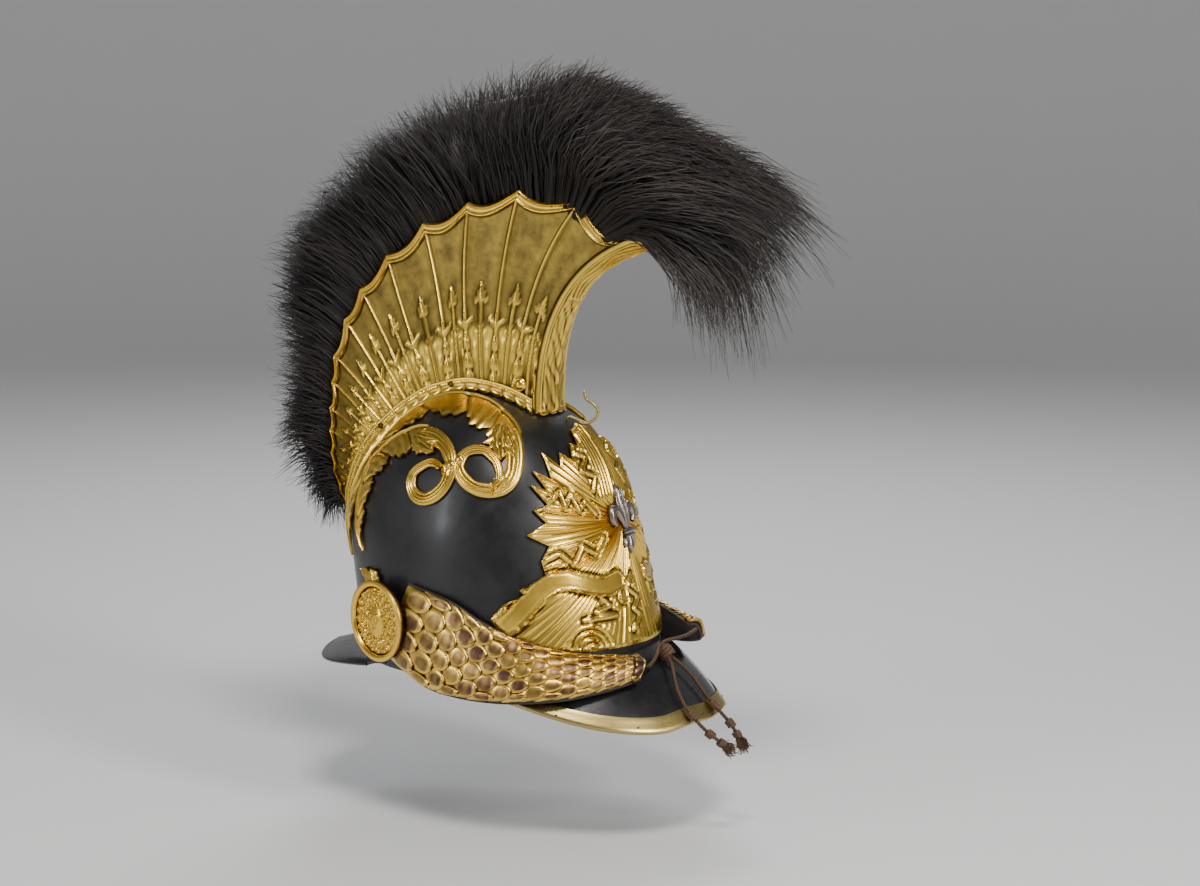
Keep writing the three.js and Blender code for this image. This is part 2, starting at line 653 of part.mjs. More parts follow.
function buildCombFoot() {
  for (const [name, side] of [['right', RIGHT], ['left', LEFT]]) {
    const outer = [];
    const inner = [];
    for (const rib of steps(...FOOT_BAND_RIBS, FOOT_BAND_STEPS)) {
      const up = FOOT_BAND_TALL / combLength(rib);
      const near = COMB_RIB + GAP;
      const lip = FOOT_BAND_THICK * FOOT_BAND_TAPER;
      const low = combPoint(side, rib, 0, 0);
      const high = combPoint(side, rib, Math.min(up, 0.7), near);
      const lowNear = low.clone().setX(side * (COMB_FOOT_HALF + near));
      const lowFar = low.clone().setX(side * (COMB_FOOT_HALF + near + FOOT_BAND_THICK));
      outer.push([footOnSkull(lowFar), high.clone().setX(high.x + side * lip)]);
      inner.push([footOnSkull(lowNear), high]);
    }
    add(`comb_base_${name}`, sheet(outer, inner), GILT_BRASS);

    const bossRows = [[0, 0], [1, 0], [1, 0.4], [0.6, 1], [0, 1]];
    const bossProfile = bossRows.map(([radius, out]) =>
      new THREE.Vector2(radius * BOSS_RADIUS, out * BOSS_THICK));
    const boss = new THREE.LatheGeometry(bossProfile, 12);
    boss.rotateZ(-side * Math.PI / 2);
    const centre = combPoint(side, BOSS_PLACE.rib, BOSS_PLACE.share, COMB_RIB + FOOT_BAND_THICK + GAP);
    boss.translate(centre.x, centre.y, centre.z);
    add(`comb_boss_${name}`, boss, GILT_BRASS);
  }
  const shareUp = FOOT_BAND_TALL / combLength(LAST_RIB);
  const outer = [];
  const inner = [];
  for (const across of steps(-1, 1, 10)) {
    const near = COMB_SHEET + GAP;
    const low = stripPoint(across, 0, 0);
    const forward = vector(0, -1, 0);
    const high = low.clone().lerp(stripPoint(across, COMB_SHARES[1], 0), shareUp / COMB_SHARES[1]);
    high.addScaledVector(forward, near);
    const lowNear = low.clone().addScaledVector(forward, near);
    inner.push([footOnSkull(lowNear), high]);
    outer.push([
      footOnSkull(lowNear.clone().addScaledVector(forward, FOOT_BAND_THICK)),
      high.clone().addScaledVector(forward, FOOT_BAND_THICK * FOOT_BAND_TAPER),
    ]);
  }
  add('comb_foot', sheet(outer, inner), GILT_BRASS);
}

function buildCombTail() {
  const ups = steps(combLine(0, 0).z - TAIL_BELOW_COMB, GUARD_THICK + TAIL_ABOVE_GUARD, 8);
  const degrees = THREE.MathUtils.radToDeg(TAIL_HALF_WIDTH / SKULL_HALF_WIDTH);
  const face = (lift) => ups.map((up) => [-1, 0, 1].map((across) =>
    skullPoint(BACK_TURN + across * degrees, placeAt(up), lift)));
  add('comb_tail', sheet(face(SEAT_GAP + TAIL_THICK), face(SEAT_GAP)), GILT_BRASS);
}

// Locks of the plume from the back to the front: the rib where the lock leaves the comb, what bends
// it and where its tip hangs as shares of the plume's height and of its reach behind the skull's
// axis, or ahead of it where the share is negative, and its width.
const PLUME_LOCKS = [
  { rib: 0.5, bowReach: 0.78, bowUp: 0.26, tipReach: 0.73, tipUp: 0.18, wide: 0.42 },
  { rib: 1.3, bowReach: 0.83, bowUp: 0.29, tipReach: 0.84, tipUp: 0.20, wide: 0.48 },
  { rib: 3.0, bowReach: 0.90, bowUp: 0.38, tipReach: 0.95, tipUp: 0.30, wide: 0.56 },
  { rib: 4.0, bowReach: 0.90, bowUp: 0.43, tipReach: 0.965, tipUp: 0.36, wide: 0.60 },
  { rib: 5.0, bowReach: 0.89, bowUp: 0.48, tipReach: 0.95, tipUp: 0.43, wide: 0.62 },
  { rib: 6.0, bowReach: 0.88, bowUp: 0.54, tipReach: 0.92, tipUp: 0.49, wide: 0.66 },
  { rib: 7.0, bowReach: 0.92, bowUp: 0.59, tipReach: 0.98, tipUp: 0.55, wide: 0.70 },
  { rib: 7.8, bowReach: 0.92, bowUp: 0.66, tipReach: 0.99, tipUp: 0.60, wide: 0.74 },
  { rib: 8.6, bowReach: 0.86, bowUp: 0.72, tipReach: 0.95, tipUp: 0.66, wide: 0.78 },
  { rib: 9.4, bowReach: 0.78, bowUp: 0.78, tipReach: 0.87, tipUp: 0.72, wide: 0.82 },
  { rib: 10.2, bowReach: 0.66, bowUp: 0.85, tipReach: 0.74, tipUp: 0.79, wide: 0.86 },
  { rib: 11.0, bowReach: 0.48, bowUp: 0.91, tipReach: 0.57, tipUp: 0.86, wide: 0.90 },
  { rib: 11.8, bowReach: 0.27, bowUp: 0.95, tipReach: 0.38, tipUp: 0.93, wide: 0.94 },
  { rib: 13.2, bowReach: -0.091, bowUp: 1.00, tipReach: -0.167, tipUp: 0.985, wide: 1.00 },
  { rib: 13.7, bowReach: -0.258, bowUp: 1.01, tipReach: -0.379, tipUp: 0.96, wide: 1.00 },
  { rib: 14.1, bowReach: -0.409, bowUp: 0.98, tipReach: -0.591, tipUp: 0.90, wide: 1.00 },
  { rib: 14.4, bowReach: -0.545, bowUp: 0.95, tipReach: -0.803, tipUp: 0.82, wide: 0.98 },
  { rib: 14.6, bowReach: -0.652, bowUp: 0.92, tipReach: -0.939, tipUp: 0.73, wide: 0.94 },
  { rib: 14.75, bowReach: -0.697, bowUp: 0.88, tipReach: -0.818, tipUp: 0.60, wide: 0.90 },
  { rib: 14.8, bowReach: -0.667, bowUp: 0.86, tipReach: -0.712, tipUp: 0.53, wide: 0.86 },
  { rib: 14.85, bowReach: -0.621, bowUp: 0.83, tipReach: -0.606, tipUp: 0.62, wide: 0.80 },
];
const LOCK_SIDES = 6;
const LOCK_SHARES = [
  { along: 0.00, spread: 0.00, thick: 0.60 },
  { along: 0.16, spread: 0.00, thick: 0.90 },
  { along: 0.62, spread: 1.00, thick: 1.30 },
  { along: 1.00, spread: 0.55, thick: 0.40 },
];

// Shares of a rib where the locks start and between which their backing lies.
const LOCK_ROOT = 0.9;
const BACKING_SHARES = [0.76, 0.92];

function plumePoint(reach, up) {
  return vector(0, reach * (reach > 0 ? PLUME_BACK : PLUME_FRONT), up * PLUME_TOP);
}

function buildPlume() {
  const rootHalf = COMB_TOP_HALF - COMB_SHEET - GAP;
  const locks = PLUME_LOCKS.map((lock) => {
    const root = combLine(lock.rib, LOCK_ROOT);
    const bow = plumePoint(lock.bowReach, lock.bowUp);
    const tip = plumePoint(lock.tipReach, lock.tipUp);
    const spine = new THREE.QuadraticBezierCurve3(root, bow, tip);
    return loft(LOCK_SHARES.map((row) => {
      const centre = spine.getPoint(row.along);
      const heading = spine.getTangent(row.along);
      const thickWay = vector(0, -heading.z, heading.y);
      const half = lerp(rootHalf, lock.wide * PLUME_HALF_WIDTH, row.spread);
      return Array.from({ length: LOCK_SIDES }, (_, side) => {
        const angle = side / LOCK_SIDES * Math.PI * 2;
        const point = centre.clone().addScaledVector(thickWay, Math.sin(angle) * LOCK_THICK * row.thick);
        point.x = Math.cos(angle) * half;
        return point;
      });
    }));
  });
  const backing = loft(steps(0.3, LAST_RIB - 0.2, 18).map((rib) => {
    const [low, high] = BACKING_SHARES.map((share) => combLine(rib, share));
    return [[-1, low], [1, low], [1, high], [-1, high]].map(([side, point]) =>
      point.clone().setX(side * rootHalf));
  }));
  add('plume', fuse([backing, ...locks]), HORSEHAIR);
}

// The hook's bends ahead of and above its foot, as shares of its height.
const HOOK_BENDS = [
  { ahead: 0.00, up: 0.00 },
  { ahead: 0.08, up: 0.12 },
  { ahead: 0.34, up: 0.06 },
  { ahead: 0.70, up: -0.04 },
  { ahead: 1.02, up: 0.12 },
  { ahead: 1.12, up: 0.38 },
  { ahead: 0.94, up: 0.60 },
  { ahead: 0.70, up: 0.74 },
  { ahead: 0.62, up: 1.00 },
];
// Where the hook stands on the skull, as shares of its front reach and height.
const HOOK_FOOT = { front: 0.43, up: 0.885 };

function buildHook() {
  const foot = onSkull(vector(0, -HOOK_FOOT.front * SKULL_FRONT, HOOK_FOOT.up * SKULL_HEIGHT), GAP);
  const bends = HOOK_BENDS.map((row) =>
    vector(0, foot.y - row.ahead * HOOK_TALL, foot.z + row.up * HOOK_TALL));
  add('plume_hook', tube(bends, HOOK_WIRE, 8, 16), GILT_BRASS);
}

// Spines of the leaf scrolls, as shares of the skull's half width, back reach and height, with the
// leaf's width there. The outer one runs below the comb, the inner one above the medallion.
const OUTER_SCROLL = [
  { side: 0.60, back: 0.78, up: 0.32, wide: 0.40 },
  { side: 0.54, back: 0.82, up: 0.48, wide: 0.55 },
  { side: 0.50, back: 0.74, up: 0.66, wide: 0.65 },
  { side: 0.42, back: 0.58, up: 0.82, wide: 0.80 },
  { side: 0.34, back: 0.38, up: 0.92, wide: 0.95 },
  { side: 0.37, back: 0.10, up: 0.955, wide: 1.00 },
  { side: 0.42, back: -0.10, up: 0.93, wide: 1.00 },
  { side: 0.50, back: -0.26, up: 0.86, wide: 1.00 },
  { side: 0.62, back: -0.35, up: 0.79, wide: 0.90 },
  { side: 0.73, back: -0.36, up: 0.70, wide: 0.80 },
  { side: 0.82, back: -0.24, up: 0.665, wide: 0.70 },
  { side: 0.83, back: -0.08, up: 0.71, wide: 0.60 },
  { side: 0.76, back: -0.05, up: 0.785, wide: 0.50 },
  { side: 0.69, back: -0.15, up: 0.81, wide: 0.45 },
  { side: 0.68, back: -0.23, up: 0.775, wide: 0.35 },
];
const INNER_SCROLL = [
  { side: 0.91, back: 0.46, up: 0.245, wide: 0.75 },
  { side: 0.83, back: 0.57, up: 0.34, wide: 1.00 },
  { side: 0.75, back: 0.66, up: 0.45, wide: 0.50 },
  { side: 0.70, back: 0.68, up: 0.56, wide: 0.50 },
  { side: 0.61, back: 0.66, up: 0.68, wide: 0.75 },
  { side: 0.60, back: 0.52, up: 0.78, wide: 0.80 },
  { side: 0.63, back: 0.32, up: 0.84, wide: 0.90 },
  { side: 0.68, back: 0.15, up: 0.84, wide: 0.85 },
  { side: 0.76, back: 0.02, up: 0.79, wide: 0.70 },
  { side: 0.83, back: -0.02, up: 0.72, wide: 0.65 },
  { side: 0.88, back: 0.05, up: 0.64, wide: 0.65 },
  { side: 0.89, back: 0.19, up: 0.63, wide: 0.60 },
  { side: 0.83, back: 0.26, up: 0.70, wide: 0.50 },
  { side: 0.80, back: 0.17, up: 0.745, wide: 0.40 },
];

function scrollLeaf(side, rows) {
  const places = steps(0, rows.length - 1, (rows.length - 1) * 2);
  const spineAt = (place) => vector(
    side * column(rows, 'side', place) * SKULL_HALF_WIDTH,
    column(rows, 'back', place) * SKULL_BACK,
    column(rows, 'up', place) * SKULL_HEIGHT,
  );
  const face = (under) => places.map((place, index) => {
    const centre = onSkull(spineAt(place));
    const ahead = spineAt(place + 0.05).sub(spineAt(place - 0.05));
    const outward = onSkull(spineAt(place), 1).sub(centre);
    const sideways = ahead.cross(outward).normalize();
    const lobe = index % 2 === 0 ? 1 : 0.72;
    const half = column(rows, 'wide', place) * SCROLL_HALF_WIDTH * lobe;
    return [-1, 0, 1].map((across) => {
      const relief = under ? 0 : SCROLL_THICK + SCROLL_RIDGE * (1 - Math.abs(across));
      return onSkull(centre.clone().addScaledVector(sideways, across * half), SEAT_GAP + relief);
    });
  });
  return sheet(face(false), face(true));
}

function buildScrolls() {
  for (const [name, side] of [['right', RIGHT], ['left', LEFT]]) {
    const leaves = [scrollLeaf(side, OUTER_SCROLL), scrollLeaf(side, INNER_SCROLL)];
    add(`scroll_${name}`, fuse(leaves), GILT_BRASS);
  }
}

// The medallion's profile from its stem's end, as shares of its radius out and millimetres up.
function buildMedallions() {
  const profile = [
    [0, MEDALLION_SEAT - MEDALLION_LIFT],
    [MEDALLION_STEM, MEDALLION_SEAT - MEDALLION_LIFT],
    [MEDALLION_STEM, 0],
    [MEDALLION_RADIUS - 1, 0],
    [MEDALLION_RADIUS, 1.2],
    [MEDALLION_RADIUS - 1.4, 4.2],
    [MEDALLION_RADIUS - 4, 3.6],
    [MEDALLION_RADIUS - 5, 2.0],
    [MEDALLION_RADIUS * 0.4, 2.4],
    [0, 2.6],
  ].map(([radius, up]) => new THREE.Vector2(radius, up));
  const ball = (wide, tall, deep, x, y, detail) => {
    const form = new THREE.IcosahedronGeometry(1, detail);
    form.scale(wide, deep, tall);
    form.translate(x, 2.2, y);
    return form;
  };
  for (const [name, side] of [['right', RIGHT], ['left', LEFT]]) {
    const pieces = [new THREE.LatheGeometry(profile, 16), ball(9, 11.5, 4.6, 0, 0, 1)];
    for (let curl = 0; curl < 6; curl += 1) {
      const angle = (curl + 0.5) / 6 * Math.PI * 2;
      const out = MEDALLION_RADIUS * 0.54;
      pieces.push(ball(4.6, 4.6, 2.8, Math.cos(angle) * out, Math.sin(angle) * out, 0));
    }
    const geometry = fuse(pieces);
    const centre = skullPoint(-side * MEDALLION_TURN, placeAt(MEDALLION_UP), MEDALLION_LIFT);
    const outward = skullNormal(-side * MEDALLION_TURN, placeAt(MEDALLION_UP));
    const mesh = add(`medallion_${name}`, geometry, GILT_BRASS);
    mesh.position.copy(centre);
    mesh.quaternion.setFromUnitVectors(vector(0, 1, 0), outward);
  }
}

// Edges of the right chin strap from the medallion to its tip: side as a share of the skull's half
// width, front of its front reach, up of its height.
const STRAP_EDGES = [
  { topSide: 1.015, topFront: -0.20, topUp: 0.325, lowSide: 0.975, lowFront: -0.36, lowUp: 0.05 },
  { topSide: 1.045, topFront: 0.09, topUp: 0.285, lowSide: 1.105, lowFront: -0.05, lowUp: -0.02 },
  { topSide: 1.015, topFront: 0.29, topUp: 0.22, lowSide: 1.145, lowFront: 0.19, lowUp: -0.04 },
  { topSide: 0.945, topFront: 0.46, topUp: 0.17, lowSide: 1.14, lowFront: 0.45, lowUp: -0.042 },
  { topSide: 0.86, topFront: 0.625, topUp: 0.135, lowSide: 1.085, lowFront: 0.665, lowUp: -0.033 },
  { topSide: 0.745, topFront: 0.775, topUp: 0.11, lowSide: 0.94, lowFront: 0.85, lowUp: -0.024 },
  { topSide: 0.59, topFront: 0.90, topUp: 0.095, lowSide: 0.765, lowFront: 0.975, lowUp: -0.01 },
  { topSide: 0.43, topFront: 1.00, topUp: 0.085, lowSide: 0.59, lowFront: 1.065, lowUp: 0.004 },
  { topSide: 0.34, topFront: 1.08, topUp: 0.065, lowSide: 0.45, lowFront: 1.12, lowUp: 0.016 },
];
const STRAP_PLACES = STRAP_EDGES.length - 1;

function strapFace(side, along, across) {
  const place = along * STRAP_PLACES;
  const edge = (name) => vector(
    side * column(STRAP_EDGES, `${name}Side`, place) * SKULL_HALF_WIDTH,
    -column(STRAP_EDGES, `${name}Front`, place) * SKULL_FRONT,
    column(STRAP_EDGES, `${name}Up`, place) * SKULL_HEIGHT,
  );
  const point = edge('low').lerp(edge('top'), (across + 1) / 2);
  if (side === LEFT) {
    point.z += LEFT_STRAP_RISE * along ** 2;
    const outward = vector(point.x / SKULL_HALF_WIDTH, point.y / SKULL_FRONT, 0).normalize();
    point.addScaledVector(outward, LEFT_STRAP_STAND_OFF * along);
  }
  return point;
}

// A point of the strap's outer face, across from -1 at its lower edge to 1 at its top edge.
function strapPoint(side, along, across, lift) {
  const ahead = strapFace(side, Math.min(along + 0.02, 1), across);
  ahead.sub(strapFace(side, Math.max(along - 0.02, 0), across));
  const up = strapFace(side, along, 1).sub(strapFace(side, along, -1));
  const normal = ahead.cross(up).normalize().multiplyScalar(-side);
  const crown = STRAP_CROWN * (1 - across ** 2);
  return strapFace(side, along, across).addScaledVector(normal, crown + lift);
}

const SCALES_START = 0.03;
const SCALES_END = 0.93;
const SCALE_LOBES = 3;

function buildStraps() {
  const acrossSteps = steps(-1, 1, SCALE_LOBES * 2);
  for (const [name, side] of [['right', RIGHT], ['left', LEFT]]) {
    const leather = (lift) => steps(0, 1, 16).map((along) =>
      steps(-1, 1, 2).map((across) => strapPoint(side, along, across, lift)));
    add(`strap_${name}`, sheet(leather(0), leather(-STRAP_THICK)), BROWN_LEATHER);

    const pitch = (SCALES_END - SCALES_START) / SCALE_ROWS;
    const outer = [];
    const inner = [];
    const station = (along, lobes, high, foot) => {
      const spots = (at) => acrossSteps.map((across, index) => {
        const round = index % 2 === lobes ? 0 : 0.4;
        return { at: at - round * pitch, across: across * 0.97 };
      });
      outer.push(spots(along).map((spot) => strapPoint(side, spot.at, spot.across, GAP + high)));
      inner.push(spots(foot).map((spot) => strapPoint(side, spot.at, spot.across, GAP)));
    };
    station(SCALES_START, 0, SCALE_LOW, SCALES_START);
    for (let row = 1; row <= SCALE_ROWS; row += 1) {
      const along = SCALES_START + row * pitch;
      station(along - pitch * 0.12, row % 2, SCALE_HIGH, along);
      station(along, row % 2, SCALE_LOW, along);
    }
    add(`scales_${name}`, sheet(outer, inner), WORN_SCALES);

    const endPlate = (lift) => steps(SCALES_END + pitch * 0.15, 1, 4).map((along, index) =>
      steps(-1, 1, 4).map((across) => {
        const narrow = index === 4 ? 0.6 : 0.97;
        return strapPoint(side, along, across * narrow, lift);
      }));
    add(`strap_end_${name}`, sheet(endPlate(GAP + 1.2), endPlate(GAP)), WORN_SCALES);
  }
}

// Routes of the two tie cords from the strap tips through the knot and over the peak's edge.
const CORD_RIGHT = [
  [-32.5, -135, 9], [-27, -136, 11.5], [-20, -136, 15.5], [-13, -134, 19], [-8.5, -131.8, 20.4],
  [-6.4, -132.6, 18.6], [-6.4, -136, 14.5], [-7.4, -139.6, 10.8], [-11, -143.5, 7.6], [-17, -148, 3],
  [-23, -153, -4], [-27, -158.5, -11.5], [-28.5, -164, -18.5], [-28.5, -170, -25], [-27, -176, -31.5],
  [-23, -181, -37.5], [-17, -184.5, -43],
];
const CORD_LEFT = [
  [31.5, -142.5, 25], [26, -142.5, 24.5], [18, -140, 22.5], [9, -136, 21.6], [1.5, -132.2, 21],
  [-2.6, -132.2, 19], [-3.4, -136, 14.5], [-2.6, -139.8, 10.6], [-0.5, -144, 6.6], [1.6, -149, 1.8],
  [2.6, -154.5, -4], [3, -160, -10.8], [3.4, -165.5, -17.5], [4.4, -171.5, -24], [6, -177.5, -30.5],
  [8, -182, -36.5], [9.5, -185, -42],
];
const KNOT_AT = [-4.9, -136, 14.5];
const KNOT_AXIS = [0, -0.66, -0.75];

function ringGeometry(inner, outer, long) {
  const worn = outer * 0.8;
  const corners = [[inner, -long / 2], [worn, -long / 2], [outer, 0], [worn, long / 2], [inner, long / 2]];
  const profile = [...corners, corners[0]].map(([radius, up]) => new THREE.Vector2(radius, up));
  return new THREE.LatheGeometry(profile, 12);
}

function tasselGeometry() {
  const rows = [[0, 0], [0.42, 0], [0.62, 0.1], [0.42, 0.26], [0.8, 0.42], [1, 1], [0, 1]];
  const profile = rows.map(([radius, down]) =>
    new THREE.Vector2(radius * TASSEL_RADIUS, down * TASSEL_LONG));
  return new THREE.LatheGeometry(profile, 8);
}

function buildTie() {
  const ends = [];
  for (const [name, route] of [['right', CORD_RIGHT], ['left', CORD_LEFT]]) {
    const points = route.map(([x, y, z]) => vector(x, y, z));
    add(`tie_cord_${name}`, tube(points, CORD_DIAMETER, 8, 20), BROWN_SILK);
    const tip = points[points.length - 1];
    const heading = tip.clone().sub(points[points.length - 2]).normalize();
    ends.push([name, tip, heading]);
  }
  const knot = add('tie_knot', ringGeometry(KNOT_BORE, KNOT_RADIUS, KNOT_LONG), BROWN_SILK);
  knot.position.set(...KNOT_AT);
  knot.quaternion.setFromUnitVectors(vector(0, 1, 0), vector(...KNOT_AXIS).normalize());
  for (const [name, tip, heading] of ends) {
    const mesh = add(`tassel_${name}`, tasselGeometry(), BROWN_SILK);
    mesh.position.copy(tip.clone().addScaledVector(heading, GAP));
    mesh.quaternion.setFromUnitVectors(vector(0, 1, 0), heading);
  }
}

buildSkull();
buildPeak();
buildNeckGuard();
buildFrontPlate();
buildBadge();
buildComb();
buildCombFront();
buildCombFoot();
buildCombTail();
buildPlume();
buildHook();
buildScrolls();
buildMedallions();
buildStraps();
buildTie();
helmet.position.set(0, -CROWN_BACK, SKULL_WALL - SKULL_HEIGHT);

export default helmet;
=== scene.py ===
import math

import bpy
import numpy as np
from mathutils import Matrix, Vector


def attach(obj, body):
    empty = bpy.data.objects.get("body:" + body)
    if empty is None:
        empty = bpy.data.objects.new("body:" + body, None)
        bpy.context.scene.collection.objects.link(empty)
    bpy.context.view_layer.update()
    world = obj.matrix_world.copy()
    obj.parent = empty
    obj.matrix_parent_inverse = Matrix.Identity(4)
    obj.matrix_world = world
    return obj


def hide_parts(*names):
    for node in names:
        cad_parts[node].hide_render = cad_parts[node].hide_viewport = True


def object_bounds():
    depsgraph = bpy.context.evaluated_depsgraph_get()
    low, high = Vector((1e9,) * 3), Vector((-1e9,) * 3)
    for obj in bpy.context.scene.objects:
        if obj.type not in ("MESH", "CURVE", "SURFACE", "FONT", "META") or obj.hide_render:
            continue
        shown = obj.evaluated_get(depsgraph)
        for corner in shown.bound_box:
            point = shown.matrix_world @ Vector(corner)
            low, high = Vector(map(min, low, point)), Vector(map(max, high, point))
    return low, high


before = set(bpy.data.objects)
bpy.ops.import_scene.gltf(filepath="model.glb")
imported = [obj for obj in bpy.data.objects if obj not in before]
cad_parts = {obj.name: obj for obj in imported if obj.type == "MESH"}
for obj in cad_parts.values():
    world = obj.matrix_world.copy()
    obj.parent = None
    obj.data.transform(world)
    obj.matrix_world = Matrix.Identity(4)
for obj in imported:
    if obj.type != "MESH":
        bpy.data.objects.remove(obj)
cad_box = [list(corner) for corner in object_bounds()]
bpy.ops.object.select_all(action="DESELECT")

# Everything is laid out in millimetres from the centre of the skull's rim and moved to the frame's
# origin, the inside of the crown, when its mesh is made. The wearer's left is +X, the front -Y.
METRE = 0.001
RIM_TO_CROWN = np.array([0.0, -14.012, -198.5])
RIGHT, LEFT = -1, 1
rng = np.random.default_rng(1811)


# Small sums

def curve(values, place):
    """A smooth curve through values at fractional places."""
    values = np.asarray(values, float)
    place = np.asarray(place, float)
    last = len(values) - 1
    start = np.clip(np.floor(place).astype(int), 0, last - 1)
    share = place - start

    def value(index):
        return values[np.clip(index, 0, last)]

    tangent_in = (value(start + 1) - value(start - 1)) / 2
    tangent_out = (value(start + 2) - value(start)) / 2
    square, cube = share**2, share**3
    return (
        value(start) * (2 * cube - 3 * square + 1)
        + tangent_in * (cube - 2 * square + share)
        + value(start + 1) * (3 * square - 2 * cube)
        + tangent_out * (cube - square)
    )


def mix(first, second, share):
    return first + (second - first) * share


def ease(share):
    share = np.clip(share, 0, 1)
    return share * share * (3 - 2 * share)


def ridge(distance, half):
    return np.exp(-((distance / half) ** 2))


def unit(vectors):
    return vectors / np.maximum(np.linalg.norm(vectors, axis=-1, keepdims=True), 1e-9)


def stack(x, y, z):
    return np.stack(np.broadcast_arrays(np.asarray(x, float), y, z), -1)


def dome(a, b):
    """A rounded hump that ends where a squared plus b squared reaches one."""
    return np.sqrt(np.clip(1 - a * a - b * b, 0, 1))


def near_path(x, y, path):
    """How far points lie from a line through corners, and how far along it the nearest place is."""
    best = np.full(np.shape(x), 1e9)
    along = np.zeros(np.shape(x))
    done = 0.0
    for (ax, ay), (bx, by) in zip(path[:-1], path[1:]):
        length = math.hypot(bx - ax, by - ay)
        t = np.clip(((x - ax) * (bx - ax) + (y - ay) * (by - ay)) / length**2, 0, 1)
        gap = np.hypot(x - ax - t * (bx - ax), y - ay - t * (by - ay))
        closer = gap < best
        best = np.where(closer, gap, best)
        along = np.where(closer, done + t * length, along)
        done += length
    return best, along


# The skull's shape, as its rows of up, centre, front, back and wide

SKULL_HEIGHT, SKULL_BACK, SKULL_FRONT, SKULL_HALF_WIDTH, SKULL_WALL = 201.0, 124.0, 121.0, 97.0, 2.5
SKULL_ROWS = np.array([
    (0.00, 0.000, 1.000, 0.860, 1.000), (0.08, 0.000, 0.980, 0.890, 1.000),
    (0.20, 0.000, 0.930, 0.930, 1.000), (0.35, 0.000, 0.860, 0.970, 0.990),
    (0.50, 0.000, 0.800, 1.000, 0.965), (0.60, 0.000, 0.745, 0.965, 0.925),
    (0.70, 0.015, 0.700, 0.870, 0.860), (0.78, 0.045, 0.650, 0.735, 0.775),
    (0.86, 0.080, 0.560, 0.560, 0.650), (0.92, 0.100, 0.420, 0.400, 0.510),
    (0.96, 0.110, 0.290, 0.270, 0.360), (0.985, 0.113, 0.155, 0.145, 0.200),
    (1.00, 0.113, 0.000, 0.000, 0.000),
]) * np.array([SKULL_HEIGHT, SKULL_BACK, SKULL_FRONT, SKULL_BACK, SKULL_HALF_WIDTH])
CROWN_PLACE = len(SKULL_ROWS) - 1
FINE_PLACES = np.linspace(0, CROWN_PLACE, 4801)
FINE_LEVELS = [curve(SKULL_ROWS[:, column], FINE_PLACES) for column in range(5)]
HEART = np.array([0.0, 0.0, SKULL_HEIGHT / 2])
GAP, SEAT_GAP = 0.4, 0.6


def place_at(up):
    return np.interp(up, FINE_LEVELS[0], FINE_PLACES)


def level_at(place):
    return [np.interp(place, FINE_PLACES, level) for level in FINE_LEVELS]


def skull_face(turn, place):
    """A point of the skull's outside. turn is in degrees from the front to the wearer's right."""
    turn, place = np.broadcast_arrays(np.asarray(turn, float), np.asarray(place, float))
    up, centre, front, back, wide = level_at(place)
    forward = np.cos(np.radians(turn))
    reach = np.where(forward > 0, front, back)
    return stack(-wide * np.sin(np.radians(turn)), centre - reach * forward, up)


def skull_normal(turn, place):
    flank = np.minimum(place, CROWN_PLACE - 0.4)
    along_turn = skull_face(turn + 1, flank) - skull_face(turn - 1, flank)
    along_up = skull_face(turn, flank + 0.05) - skull_face(turn, np.maximum(flank - 0.05, 0))
    return unit(np.cross(along_up, along_turn))


def skull_point(turn, up, lift=0.0):
    turn, up, lift = np.broadcast_arrays(np.asarray(turn, float), up, lift)
    place = place_at(up)
    return skull_face(turn, place) + skull_normal(turn, place) * lift[..., None]


def shares_at(points):
    """How far points lie to the left and ahead, as shares of the skull's width and reach there."""
    _, centre, front, back, wide = level_at(place_at(points[..., 2]))
    reach = np.where(points[..., 1] < centre, front, back)
    return points[..., 0] / np.maximum(wide, 1e-3), (centre - points[..., 1]) / np.maximum(reach, 1e-3)


def on_skull(points, lift=0.0):
    """The points of the skull on the rays from its heart through points, lifted off it."""
    ray = np.asarray(points, float) - HEART
    low = np.full(ray.shape[:-1], 0.2)
    high = np.full(ray.shape[:-1], 2.5)
    for _ in range(24):
        middle = (low + high) / 2
        probe = HEART + ray * middle[..., None]
        aside, ahead = shares_at(probe)
        inside = (probe[..., 2] < SKULL_HEIGHT) & (ahead**2 + aside**2 < 1)
        low = np.where(inside, middle, low)
        high = np.where(inside, high, middle)
    face = HEART + ray * low[..., None]
    aside, ahead = shares_at(face)
    turn = np.degrees(np.arctan2(-aside, ahead))
    lift = np.broadcast_to(np.asarray(lift, float), face.shape[:-1])
    return face + skull_normal(turn, place_at(face[..., 2])) * lift[..., None]


# Making pieces

def grid_faces(rows, columns, wrap=False):
    row = np.arange(rows - 1)[:, None] * columns
    at = np.arange(columns if wrap else columns - 1)[None, :]
    after = (at + 1) % columns
    return np.stack([row + at, row + after, row + columns + after, row + columns + at], -1).reshape(-1, 4)


def soften(grid, reach, wrap=False):
    """A grid averaged over reach cells each way."""
    count = 2 * reach + 1
    for axis in (0, 1):
        pad = [(0, 0), (0, 0)]
        pad[axis] = (reach + 1, reach)
        padded = np.pad(grid, pad, mode="wrap" if wrap and axis == 1 else "edge")
        total = np.cumsum(padded, axis)
        size = total.shape[axis]
        grid = (np.take(total, range(count, size), axis) - np.take(total, range(size - count), axis)) / count
    return grid


def proud(height, reach, depth, wrap=False):
    """How far each place of a relief stands out from its surroundings: 0 in a hollow, 1 on a ridge."""
    return np.clip(0.5 + (height - soften(height, reach, wrap)) / depth, 0, 1)


